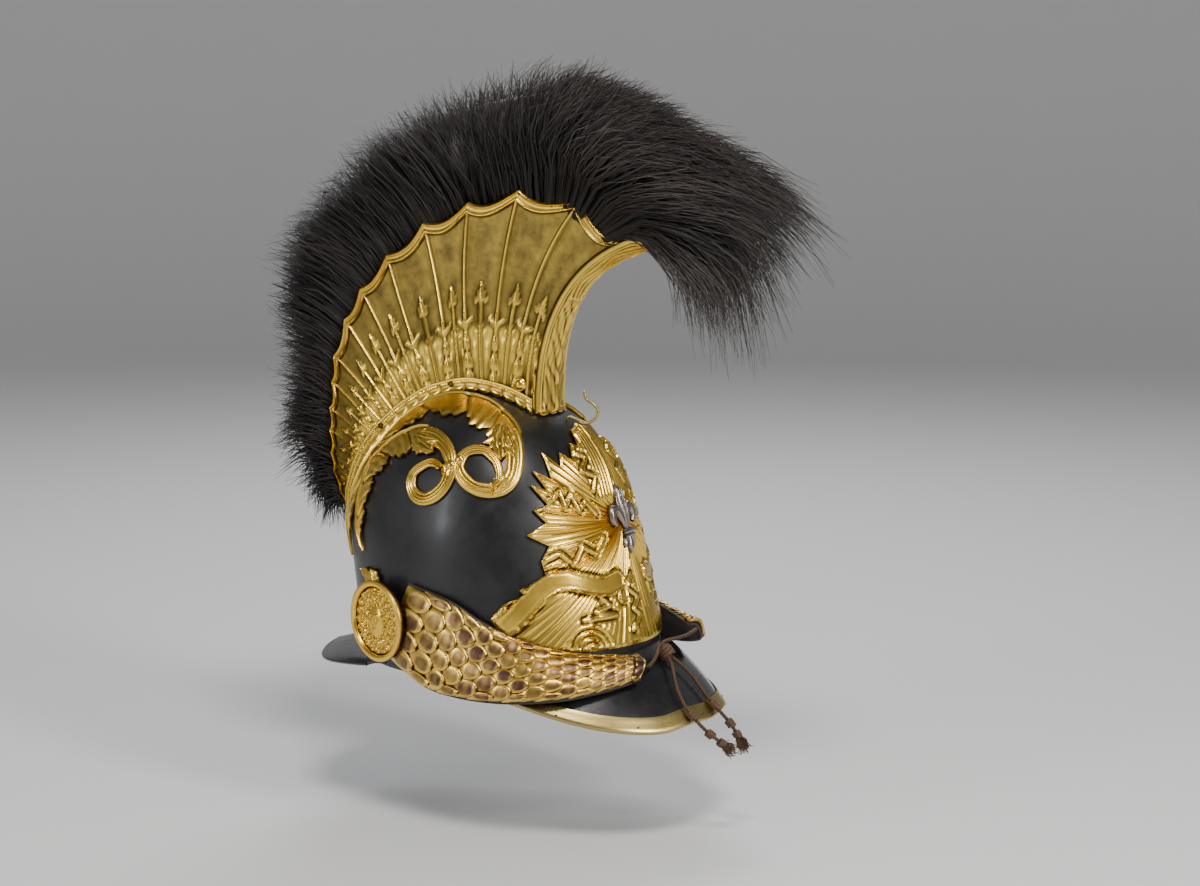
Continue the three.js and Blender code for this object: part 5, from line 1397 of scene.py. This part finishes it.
OUTER_SCROLL = np.array([
    (.60, .78, .32, .40), (.54, .82, .48, .55), (.50, .74, .66, .65), (.42, .58, .82, .80),
    (.34, .38, .92, .95), (.37, .10, .955, 1.0), (.42, -.10, .93, 1.0), (.50, -.26, .86, 1.0),
    (.62, -.35, .79, .90), (.73, -.36, .70, .80), (.82, -.24, .665, .70), (.83, -.08, .71, .60),
    (.76, -.05, .785, .50), (.69, -.15, .81, .45), (.68, -.23, .775, .38), (.705, -.28, .735, .33),
    (.745, -.29, .70, .28),
])
INNER_SCROLL = np.array([
    (.91, .46, .245, .75), (.83, .57, .34, 1.0), (.75, .66, .45, .50), (.70, .68, .56, .50),
    (.61, .66, .68, .75), (.60, .52, .78, .80), (.63, .32, .84, .90), (.68, .15, .84, .85),
    (.76, .02, .79, .70), (.83, -.02, .72, .65), (.88, .05, .64, .65), (.89, .19, .63, .60),
    (.83, .26, .70, .50), (.80, .17, .745, .40), (.795, .10, .755, .36), (.82, .045, .735, .30),
])
SCROLL_SIZE = np.array([-SKULL_HALF_WIDTH, SKULL_BACK, SKULL_HEIGHT])


def scroll_spine(rows, place):
    """A scroll's middle line, with its corners rounded."""
    place = np.asarray(place, float)
    near = [np.clip(place + step, 0, len(rows) - 1) for step in (-0.45, -0.22, 0, 0.22, 0.45)]
    return np.stack([sum(curve(rows[:, column], at) for at in near) / 5 * SCROLL_SIZE[column]
                     for column in range(3)], -1)


def scroll_axes(rows, place):
    """Where the scroll's spine lies on the skull, its heading, and the way to its inner side."""
    centre = on_skull(scroll_spine(rows, place))
    heading = unit(scroll_spine(rows, place + 0.05) - scroll_spine(rows, place - 0.05))
    outward = unit(on_skull(scroll_spine(rows, place), 1.0) - centre)
    inner = unit(np.cross(heading, outward))
    heading = unit(np.cross(outward, inner))
    return centre, heading, inner


def add_leaf_band(casting, rows, first, last, pitch, broad):
    """Leaf along a scroll, in groups of lobes that sweep from its outer rim to its inner side."""
    place, across = np.meshgrid(np.linspace(first, last, int((last - first) * 29)),
                                np.linspace(-1, 1, 23), indexing="ij")
    inward = (across + 1) / 2
    at = np.minimum(place + 0.38 * inward**2, len(rows) - 1.05)
    centre, _, inner = scroll_axes(rows, at)
    s = (place - first) / pitch % 1
    lobe = np.sin(np.pi * s**1.3) ** 0.55
    finger = 1 - 0.10 * np.cos(2 * np.pi * 3 * s)
    end = ease((place - first) / 1.2 + 0.15) * ease((last - place) / 0.4 + 0.35)
    half = curve(rows[:, 3], at) * 8.2 * end
    reach = mix(1.0, mix(1.15, broad, lobe) * finger, inward**1.5)
    flat = centre + inner * (across * half * reach)[..., None]
    body = 1.7 * np.sqrt(np.clip(1.02 - (across * 0.96) ** 2, 0, 1)) * mix(0.6, 1.0, lobe)
    veins = -0.4 * np.cos(2 * np.pi * 3 * s) * inward**0.7
    notch = 1.5 * ridge(np.minimum(s, 1 - s), 0.06) * ease(inward * 2)
    curl = 1.1 * ease((inward - 0.7) / 0.3) * lobe
    lift = 0.9 + body + curl + 1.5 * ridge(across + 0.82, 0.13) - 0.9 * ridge(across + 0.55, 0.12)
    lift = np.clip(lift + veins - notch, 0.4, 5) * mix(0.6, 1, end)
    casting.add_sheet(on_skull(flat, SEAT_GAP + lift), thin(on_skull(flat, SEAT_GAP), 0, 5),
                      raised=proud(lift, 2, 1.8), bright=0.55 + 0.35 * inward)


def add_scroll_stem(casting, rows, first):
    """The grooved stem after the leaf, into the ring at its end."""
    last = len(rows) - 1
    place, across = np.meshgrid(np.linspace(first, last, int((last - first) * 14)),
                                np.linspace(-1, 1, 19), indexing="ij")
    centre, _, inner = scroll_axes(rows, place[:, 0])
    along = (place - first) / (last - first)
    half = curve(rows[:, 3], place) * mix(6.4, 8.6, along)
    half = half * ease((last - place) / 0.7 + 0.45) * ease((place - first) / 0.5 + 0.4)
    leafy = 1 + 0.14 * np.abs(np.sin(place * 3.3)) * (across > 0)
    flat = centre[:, None] + inner[:, None] * (across * half * leafy)[..., None]
    groove = ridge(across - 0.42, 0.10) + ridge(across + 0.05, 0.10) + 0.8 * ridge(across + 0.50, 0.08)
    lift = 1.1 + 1.9 * np.sqrt(np.clip(1 - (across * 0.97) ** 2, 0, 1)) - 1.1 * groove
    casting.add_sheet(on_skull(flat, SEAT_GAP + lift), thin(on_skull(flat, SEAT_GAP), 0, 5),
                      raised=proud(lift, 2, 1.8), bright=0.85)


def add_leaf(casting, centre, heading, inner, angle, long, wide, lift, curl=0.0):
    """One finger of leaf from a place on the stem, at an angle from its heading."""
    u, v = np.meshgrid(np.linspace(-1, 1, 11), np.linspace(0, 1, 17))
    bend = angle + curl * v
    ahead = np.cumsum(np.cos(bend), 0) / 17 * long
    aside = np.cumsum(np.sin(bend), 0) / 17 * long
    half = wide * (np.sin(np.pi * np.clip(v * 0.84 + 0.16, 0, 1)) ** 0.7 + 0.12 * (1 - v))
    half = half * (1 + 0.16 * np.sin(v * 25))
    ahead = ahead - np.sin(bend) * u * half
    aside = aside + np.cos(bend) * u * half
    height = lift + 1.9 * (1 - u * u) * (1 - 0.3 * v) - 1.0 * ridge(u, 0.16) + 0.8 * v**2
    height = height + 0.3 * np.cos(u * 9 + v * 6)
    flat = centre + heading * ahead[..., None] + inner * aside[..., None]
    casting.add_sheet(on_skull(flat, SEAT_GAP + height), thin(on_skull(flat, SEAT_GAP + 0.1), 0, 3),
                      raised=np.clip(0.85 - 0.75 * ridge(u, 0.2) - 0.5 * np.abs(u) ** 4, 0, 1),
                      bright=0.85)


def add_leaf_spray(casting, rows, place, fingers, aside=0.0):
    """Fingers of leaf from one place: each an angle in degrees, a length and a width."""
    centre, heading, inner = scroll_axes(rows, np.array([place]))
    for number, (angle, long, wide) in enumerate(fingers):
        add_leaf(casting, centre[0] + inner[0] * aside, heading[0], inner[0], math.radians(angle), long,
                 wide, 1.3 + 0.4 * number, curl=-0.4)


def make_scrolls():
    scroll = Casting()
    add_scroll_stem(scroll, OUTER_SCROLL, 6.8)
    add_scroll_stem(scroll, INNER_SCROLL, 6.3)
    add_leaf_band(scroll, OUTER_SCROLL, 0.3, 7.4, 1.18, 2.45)
    add_leaf_band(scroll, INNER_SCROLL, 1.6, 6.7, 1.02, 2.25)
    add_leaf_spray(scroll, OUTER_SCROLL, 6.7, ((60, 22, 5.6), (24, 30, 5.8), (42, 32, 6.4)), 2)
    add_leaf_spray(scroll, INNER_SCROLL, 6.1, ((66, 18, 4.8), (26, 25, 5.0), (46, 27, 5.6)), 2)
    add_leaf_spray(scroll, OUTER_SCROLL, 8.9, ((42, 15, 3.4), (26, 18, 3.4)), 2)
    add_leaf_spray(scroll, INNER_SCROLL, 8.4, ((42, 11, 3.0), (26, 13, 3.0)), 1.5)
    add_leaf_spray(scroll, INNER_SCROLL, 0.0, ((-32, 22, 5.0), (30, 20, 4.8), (-2, 28, 5.6)))
    piece = scroll.make("leaf_scroll_right")
    knots = []
    for side, back, up in ((0.80, -0.012, 0.748), (0.775, -0.055, 0.768)):
        spot = on_skull(np.array([side, back, up]) * SCROLL_SIZE, SEAT_GAP + 1.5)
        rows = [(3.4, 0), (3.6, 1.2), (3.0, 2.4), (1.6, 3.1), (0.1, 3.3)]
        knots.append(turn_fitting("knot", rows, spot, (-1, -0.1, 0.35), 20, 0.8, 0.9))
    join_up(piece, knots)
    dress_pair(piece, "leaf_scroll_left", ["scroll_right"], ["scroll_left"], plate_gilt)


MEDALLION_RADIUS, MEDALLION_TURN, MEDALLION_UP, MEDALLION_PROUD = 30.0, 114.0, 37.0, 9.8


def medallion_relief(x, y):
    """A calm mask among curls inside a plain rim."""
    reach = np.hypot(x, y)
    height = np.full(x.shape, 1.4)
    for ring, count, size, twist in ((11.6, 13, 3.3, 1), (16.6, 17, 3.6, -1), (21.6, 21, 3.4, 1)):
        for number in range(count):
            angle = (number + 0.5 * (twist > 0)) / count * 2 * np.pi
            dx, dy = x - ring * math.sin(angle), y - ring * math.cos(angle)
            gap = np.hypot(dx, dy)
            swirl = np.arctan2(dy, dx) * twist
            curl = ridge(gap, size * 0.8) * (0.62 + 0.45 * np.cos(2 * swirl + gap * 2.3 + angle * 5))
            height = np.maximum(height, 1.4 + 2.3 * curl)
    head = dome(x / 9.2, (y + 0.5) / 12.2)
    mask = 1.6 + 3.4 * head
    mask = mask + 1.5 * ridge(x, 1.25) * ease((5.0 - y) / 4) * ease((y + 3.8) / 1.2)
    mask = mask + 0.5 * ridge(x, 2.3) * ridge(y + 3.1, 1.3)
    mask = mask + 0.75 * ridge(y - 4.6 + 0.04 * (np.abs(x) - 3.4) ** 2, 0.9) * ridge(np.abs(x) - 3.6, 2.6)
    mask = mask - 0.85 * ridge(np.abs(x) - 3.5, 1.9) * ridge(y - 2.7, 1.3)
    mask = mask + 0.6 * ridge(np.abs(x) - 3.5, 1.3) * ridge(y - 2.5, 0.75)
    mask = mask + 0.4 * ridge(np.abs(x) - 4.8, 2.2) * ridge(y + 2.6, 2.4)
    mask = mask + 0.62 * ridge(x, 2.6) * ridge(y + 6.0, 0.62) + 0.6 * ridge(x, 2.1) * ridge(y + 7.4, 0.7)
    mask = mask - 0.3 * ridge(x, 2.7) * ridge(y + 6.7, 0.3) + 0.6 * ridge(x, 2.6) * ridge(y + 10.0, 1.5)
    height = np.where(head > 0.12, np.maximum(mask, height * (head < 0.3)), height)
    well = ease((reach - 24.0) / 0.8)
    height = mix(height, 1.0, well)
    rim = 1.4 + 2.9 * np.sqrt(dome(0, np.clip((reach - 27.6) / 2.6, -1, 1)))
    return np.where(reach > 25.1, np.maximum(height, rim), height)


def make_medallions():
    centre = skull_point(MEDALLION_TURN, MEDALLION_UP, MEDALLION_PROUD)
    axis = skull_normal(np.array(MEDALLION_TURN), place_at(MEDALLION_UP))
    up_way = unit(np.array([0, 0, 1.0]) - axis * axis[2])
    side_way = np.cross(up_way, axis)
    angle = np.arange(168) / 168 * 2 * np.pi
    reach = np.linspace(0, MEDALLION_RADIUS, 62)[:, None]
    x, y = reach * np.sin(angle), reach * np.cos(angle)
    height = medallion_relief(x, y)
    flat = centre + side_way * x[..., None] + up_way * y[..., None]
    top = flat + axis * height[..., None]
    low = np.array([0, 10, MEDALLION_RADIUS - 0.6])[:, None]
    under = (centre + side_way * (low * np.sin(angle))[..., None]
             + up_way * (low * np.cos(angle))[..., None])
    medal = Casting()
    medal.add_sheet(top, under, wrap=True, raised=proud(height, 4, 2.4, True), bright=0.8)
    piece = medal.make("mask_medallion_right", 70)
    post = turn_fitting("post", [(5, -9.6), (5, 0.3)], centre, axis, 24, 0.3, 0.8)
    join_up(piece, [post])
    dress_pair(piece, "mask_medallion_left", ["medallion_right"], ["medallion_left"],
               boss_gilt)


# Chin straps

# The strap's upper and lower edge, each as shares of the skull's half width, front and height
STRAP_EDGES = np.array([
    (1.015, -0.20, 0.325, 0.975, -0.36, 0.05), (1.045, 0.09, 0.285, 1.105, -0.05, -0.02),
    (1.015, 0.29, 0.22, 1.145, 0.19, -0.04), (0.945, 0.46, 0.17, 1.14, 0.45, -0.042),
    (0.86, 0.625, 0.135, 1.085, 0.665, -0.033), (0.745, 0.775, 0.11, 0.94, 0.85, -0.024),
    (0.59, 0.90, 0.095, 0.765, 0.975, -0.01), (0.43, 1.00, 0.085, 0.59, 1.065, 0.004),
    (0.34, 1.08, 0.065, 0.45, 1.12, 0.016),
]) * ([SKULL_HALF_WIDTH, -SKULL_FRONT, SKULL_HEIGHT] * 2)
STRAP_THICK = 2.0
SCALE_ROWS = 16
SCALES_START, SCALES_END = 0.03, 0.93
# Each scale's middle and half width across the strap, in even and odd rows
SCALE_LAYOUTS = [
    [(-0.74, 0.265), (-0.25, 0.265), (0.25, 0.265), (0.74, 0.265)],
    [(-0.90, 0.13), (-0.5, 0.265), (0.0, 0.265), (0.5, 0.265), (0.90, 0.13)],
]


def strap_face(side, along, across):
    place = np.asarray(along, float) * (len(STRAP_EDGES) - 1)
    top = [curve(STRAP_EDGES[:, column], place) for column in range(3)]
    low = [curve(STRAP_EDGES[:, column], place) for column in range(3, 6)]
    share = (np.asarray(across, float) + 1) / 2
    point = stack(*[mix(b, t, share) for b, t in zip(low, top)])
    point[..., 0] *= side
    if side == LEFT:
        point[..., 2] += 15 * along**2
        outward = unit(stack(point[..., 0] / SKULL_HALF_WIDTH, point[..., 1] / SKULL_FRONT, 0.0))
        point = point + outward * (5 * along)[..., None]
    return point


def strap_point(side, along, across, lift):
    along, across, lift = np.broadcast_arrays(np.asarray(along, float), across, lift)
    ahead = (strap_face(side, np.minimum(along + 0.02, 1), across)
             - strap_face(side, np.maximum(along - 0.02, 0), across))
    up = strap_face(side, along, 1.0 + 0 * along) - strap_face(side, along, -1.0 + 0 * along)
    normal = unit(np.cross(ahead, up)) * -side
    crown = 4 * (1 - np.clip(across, -1, 1) ** 2)
    return strap_face(side, along, across) + normal * (crown + lift)[..., None]


def add_scale(casting, side, start, pitch, middle, half):
    u, v = np.meshgrid(np.linspace(-1, 1, 11), np.linspace(0, 1, 12))
    tongue = np.sqrt(np.clip(1 - np.clip((v - 0.50) / 0.52, 0, 1) ** 2, 0.0004, 1))
    along = np.clip(start + (v * 1.62 - 0.62) * pitch, 0, 1)
    across = np.clip(middle + u * half * tongue, -1.02, 1.02)
    swell = 1.6 * (1 - np.abs(u) ** 3) * ease(v / 0.35) * (1 - 0.45 * v**4)
    tilt = 0.2 + 2.5 * v
    rim = 0.45 * np.maximum(ridge(np.abs(u) - 0.85, 0.15) * (v > 0.3), ridge(v - 0.93, 0.07))
    lift = GAP + tilt + swell + rim
    top = strap_point(side, along, across, lift)
    under = thin(strap_point(side, along, across, GAP + tilt * 0.75 - 0.1), 0, 3)
    wide, back, lean = 0.58 + 0.26 * rng.random(), 0.32 + 0.14 * rng.random(), rng.uniform(-0.12, 0.12)
    reach = np.hypot((u - lean) / wide, (v - 0.68) / (0.72 - back))
    patch = ease((1.20 - reach) / 0.36) * (0.55 + 0.45 * rng.random() ** 0.6)
    patch = patch * (1 - 0.30 * ridge(v - 0.60, 0.10) * rng.random())
    edge = np.maximum(ease((np.abs(u) - 0.80) / 0.16), ease((v - 0.84) / 0.08)) * (v > 0.3)
    # shade is a painted shadow crescent along each scale's tip and sides: it lowers the raised mark there, so
    # the finish paints that edge with its dark hollow colour
    shade = np.maximum(ease((v - 0.93) / 0.06), ease((np.abs(u) - 0.93) / 0.06) * (v > 0.35))
    casting.add_sheet(top, under, raised=np.clip(0.66 - 0.12 * patch + 0.25 * edge - 0.6 * shade, 0, 1),
                      bright=np.clip(0.92 - patch * (1 - 0.5 * edge), 0, 1))


def make_strap_leather(name, side):
    along, across = np.meshgrid(np.linspace(0, 1, 90), np.linspace(-1, 1, 11), indexing="ij")
    strap = Casting()
    strap.add_sheet(strap_point(side, along, across, 0 * along),
                    strap_point(side, along, across, 0 * along - STRAP_THICK))
    run = np.linspace(0.0, 0.985, 120)
    for edge in (1.0, -1.0):
        piping = strap_point(side, run, edge + 0 * run, -0.6 + 0 * run)
        strap.add_rod(piping, 1.5, 8)
    strap.finish(f"strap_leather_{name}", [f"strap_{name}"], "strap_leather", strap_hide)


def make_scales(name, side):
    """Rows of overlapping scales on a thin brass bed."""
    pitch = (SCALES_END - SCALES_START) / SCALE_ROWS
    scales = Casting()
    along, across = np.meshgrid(np.linspace(SCALES_START, SCALES_END, 60), np.linspace(-0.97, 0.97, 9),
                                indexing="ij")
    scales.add_sheet(strap_point(side, along, across, GAP + 0.5), strap_point(side, along, across, GAP),
                     raised=0.5, bright=0.9)
    for row in range(SCALE_ROWS):
        start = SCALES_START + (row + 0.10) * pitch
        for middle, half in SCALE_LAYOUTS[row % 2]:
            add_scale(scales, side, start, pitch, middle, half)
    scales.finish(f"brass_scales_{name}", [f"scales_{name}"], "scale_brass", scale_brass)


def make_strap_tip(name, side):
    """The round end plate with its raised rim."""
    u, v = np.meshgrid(np.linspace(-1, 1, 21), np.linspace(0, 1, 19))
    taper = np.sqrt(np.clip(1 - np.clip((v - 0.40) / 0.62, 0, 1) ** 2, 0, 1)) * (1 + 0.28 * ease(v / 0.3))
    place = SCALES_END - 0.022 + v * (1 - SCALES_END + 0.020)
    edge = np.maximum(ease((np.abs(u) - 0.80) / 0.12), ease((v - 0.80) / 0.10))
    lift = GAP + 2.9 + 0.5 * edge + 0.6 * (1 - u * u) + 0.8 * ridge(v - 0.06, 0.07)
    lift = lift - 0.25 * ridge(v - 0.20, 0.04) - 0.25 * ridge(v - 0.32, 0.04)
    end = Casting()
    end.add_sheet(strap_point(side, place, u * 0.97 * taper, lift),
                  strap_point(side, place, u * 0.97 * taper, 0 * u + GAP),
                  raised=0.35 + 0.5 * edge, bright=0.75 * edge)
    end.finish(f"strap_tip_{name}", [f"strap_end_{name}"], "scale_brass", scale_brass)


def make_straps():
    for name, side in (("right", RIGHT), ("left", LEFT)):
        make_strap_leather(name, side)
        make_scales(name, side)
        make_strap_tip(name, side)


# Plume

PLUME_BACK, PLUME_FRONT, PLUME_TOP, PLUME_HALF = 200.0, 264.0, 434.0, 46.0
# Each lock's rib, the reach and height of its bow and of its tip, and its half width
PLUME_LOCKS = np.array([
    (0.5, 0.78, 0.26, 0.73, 0.18, 0.42), (1.3, 0.83, 0.29, 0.84, 0.20, 0.48),
    (3.0, 0.90, 0.38, 0.95, 0.30, 0.56), (4.0, 0.90, 0.43, 0.965, 0.36, 0.60),
    (5.0, 0.89, 0.48, 0.95, 0.43, 0.62), (6.0, 0.88, 0.54, 0.92, 0.49, 0.66),
    (7.0, 0.92, 0.59, 0.98, 0.55, 0.70), (7.8, 0.92, 0.66, 0.99, 0.60, 0.74),
    (8.6, 0.86, 0.72, 0.95, 0.66, 0.78), (9.4, 0.78, 0.78, 0.87, 0.72, 0.82),
    (10.2, 0.66, 0.85, 0.74, 0.79, 0.86), (11.0, 0.48, 0.91, 0.57, 0.86, 0.90),
    (11.8, 0.27, 0.95, 0.38, 0.93, 0.94), (13.2, -0.091, 1.00, -0.167, 0.985, 1.00),
    (13.7, -0.258, 1.01, -0.379, 0.96, 1.00), (14.1, -0.409, 0.98, -0.591, 0.90, 1.00),
    (14.4, -0.545, 0.95, -0.803, 0.82, 0.98), (14.6, -0.652, 0.92, -0.939, 0.73, 0.94),
    (14.75, -0.697, 0.88, -0.818, 0.60, 0.90), (14.8, -0.667, 0.86, -0.712, 0.53, 0.86),
    (14.85, -0.621, 0.83, -0.606, 0.62, 0.80),
])
LAST_LOCK = len(PLUME_LOCKS) - 1
# Each part of the plume: hairs, first and last lock, rings, clumps, roughness, lengths, tone (how much
# painted light it gets, most at the front and almost none on the under hair), radii
HAIR_ROWS = [
    ("plume_hair_back", 5600, 0.0, 9.5, 4, 300, 5.0, (0.58, 0.80, 1.0, 1.02), 0.32, (0.36, 0.60)),
    ("plume_hair_top", 5000, 8.5, 15.0, 5, 340, 5.0, (0.92, 1.0, 1.03), 0.40, (0.36, 0.60)),
    ("plume_hair_front", 5000, 13.2, 20.0, 6, 330, 5.0, (0.9, 1.0, 1.03), 0.62, (0.36, 0.60)),
    ("plume_under_hair", 900, 0.2, 19.6, 4, 500, 3.0, (0.70, 0.85), 0.03, (1.8, 2.6)),
]


def plume_reach(reach):
    return reach * np.where(reach > 0, PLUME_BACK, PLUME_FRONT)


def plume_line(lock, share):
    """A point of the plume's middle plane: lock counts from the back, share runs from root to tip."""
    rib, bow_reach, bow_up, tip_reach, tip_up, wide = [curve(PLUME_LOCKS[:, c], lock) for c in range(6)]
    root = comb_line(np.minimum(rib, LAST_RIB - 0.1), 0.86 + 0 * rib)
    bow = stack(0.0, plume_reach(bow_reach), bow_up * PLUME_TOP)
    tip = stack(0.0, plume_reach(tip_reach), tip_up * PLUME_TOP)
    left = 1 - share
    point = ((left * left)[..., None] * root + (2 * left * share)[..., None] * bow
             + (share * share)[..., None] * tip)
    return point, wide * PLUME_HALF


def hair_mesh(name, spine, radius, tone):
    """Thin three-sided hairs along spines, tapered to their tips; tone is given for each ring."""
    count, rings = spine.shape[:2]
    ahead = unit(np.gradient(spine, axis=1))
    side = unit(np.cross(ahead, np.array([0.83, 0.21, 0.51])))
    other = np.cross(ahead, side)
    angle = np.arange(3) * 2 * np.pi / 3
    taper = 1 - 0.82 * np.linspace(0, 1, rings) ** 2
    thick = (radius[:, None] * taper)[:, :, None, None]
    ring = (np.cos(angle)[None, None, :, None] * side[:, :, None]
            + np.sin(angle)[None, None, :, None] * other[:, :, None])
    points = spine[:, :, None] + ring * thick
    per = rings * 3
    quads = grid_faces(rings, 3, True)
    quads = (quads[None] + (np.arange(count) * per)[:, None, None]).reshape(-1, 4)
    caps = np.array([(0, 2, 1), (per - 3, per - 2, per - 1)])
    caps = (caps[None] + (np.arange(count) * per)[:, None, None]).reshape(-1, 3)
    mesh = bpy.data.meshes.new(name)
    points = (points.reshape(-1, 3) + RIM_TO_CROWN) * METRE
    mesh.from_pydata(points.tolist(), [], quads.tolist() + caps.tolist())
    mesh.polygons.foreach_set("use_smooth", np.ones(len(mesh.polygons), bool))
    piece = bpy.data.objects.new(name, mesh)
    bpy.context.collection.objects.link(piece)
    set_marks(piece, 1.0, np.repeat(np.broadcast_to(tone, (count, rings)), 3))
    return dress(piece, [], horse_hair)


def comb_out(count, first, last, rings, clumps, rough, layers):
    """Spines of hairs in clumps over a range of locks, from the comb's edge to their tips."""
    clump_lock = rng.uniform(first, last, clumps)
    clump_side = rng.uniform(-1, 1, clumps)
    clump_long = rng.uniform(0.84, 1.03, clumps) * rng.choice(layers, clumps)
    clump_sway = rng.normal(0, 1, (clumps, 3))
    clump_tone = rng.random(clumps)
    own = rng.integers(0, clumps, count)
    share = np.linspace(0, 1, rings)[None, :]
    lock = clump_lock[own][:, None] + rng.normal(0, 0.38, (count, 1)) * (1 - 0.3 * share)
    lock = np.clip(lock, 0, LAST_LOCK)
    at_front = ease((lock - 12) / 3)
    side = np.clip(clump_side[own] + rng.normal(0, 0.17, count), -1.05, 1.05)[:, None]
    long = clump_long[own][:, None] * (1 - mix(0.42, 0.22, at_front[:, :1]) * rng.random((count, 1)) ** 1.8)
    long = long * (1 - 0.30 * side**2 * (1 - at_front))
    point, half = plume_line(lock, share * long)
    spread = ease(share * long / 0.55) * (1 - 0.25 * (share * long) ** 3)
    root_side = np.sign(side) * np.abs(side) ** 0.6 * 11.5
    point[..., 0] = mix(root_side, side * half, spread)
    point[..., 2] -= side**2 * half * 0.55 * spread * at_front
    sway = clump_sway[own][:, None, :] * rough * share[..., None] ** 1.5
    jitter = rng.normal(0, rough * 0.5, (count, 1, 3)) * share[..., None] ** 2
    phase = rng.uniform(0, 6.28, (count, 1, 3))
    wave = 2.5 * np.sin(phase + share[..., None] * 12) * share[..., None]
    # tone: a random tone for each clump, with painted light: outer hairs lighter than those in the plume's
    # middle, where shade falls, and every hair lighter towards its tip
    tone = clump_tone[own] * (0.6 + 0.6 * np.abs(side[:, 0]))
    return point + sway + jitter + wave, tone[:, None] * (0.45 + 0.75 * share)


def make_plume_core():
    """The dark backing that the hair grows from."""
    lock, share = np.meshgrid(np.linspace(0.4, LAST_LOCK - 1.2, 60), np.linspace(0, 1, 14), indexing="ij")
    middle, half = plume_line(lock, share * 0.60)
    bulge = half * 0.42 * ease(share / 0.6) * np.sqrt(np.clip(1.02 - share**3, 0, 1))
    bulge = bulge * ease((lock + 0.3) / 1.4) * ease((LAST_LOCK - 0.8 - lock) / 1.4) + 2.0
    top, under = middle.copy(), middle.copy()
    top[..., 0] = bulge
    under[..., 0] = -bulge
    core = Casting()
    core.add_sheet(top, under, bright=0.0)
    core.finish("plume_core", ["plume"], "horsehair", horse_hair)


def make_plume():
    make_plume_core()
    for name, count, first, last, rings, clumps, rough, layers, light, thick in HAIR_ROWS:
        spine, tone = comb_out(count, first, last, rings, clumps, rough, layers)
        # each row's tone share lifts its hairs towards the painted highlight colour of horse_hair
        tone = 0.02 + light * tone * rng.uniform(0.25, 1.0, (count, 1))
        hair_mesh(name, spine, rng.uniform(*thick, count), tone)


make_tie()
make_skull()
make_peak()
make_peak_edging()
make_neck_guard()
make_front_plate()
make_badge()
make_comb_sides()
make_comb_front()
make_comb_foot()
make_comb_studs()
make_comb_foot_front()
make_comb_tail()
make_hook()
make_scrolls()
make_medallions()
make_straps()
make_plume()
make_studio()
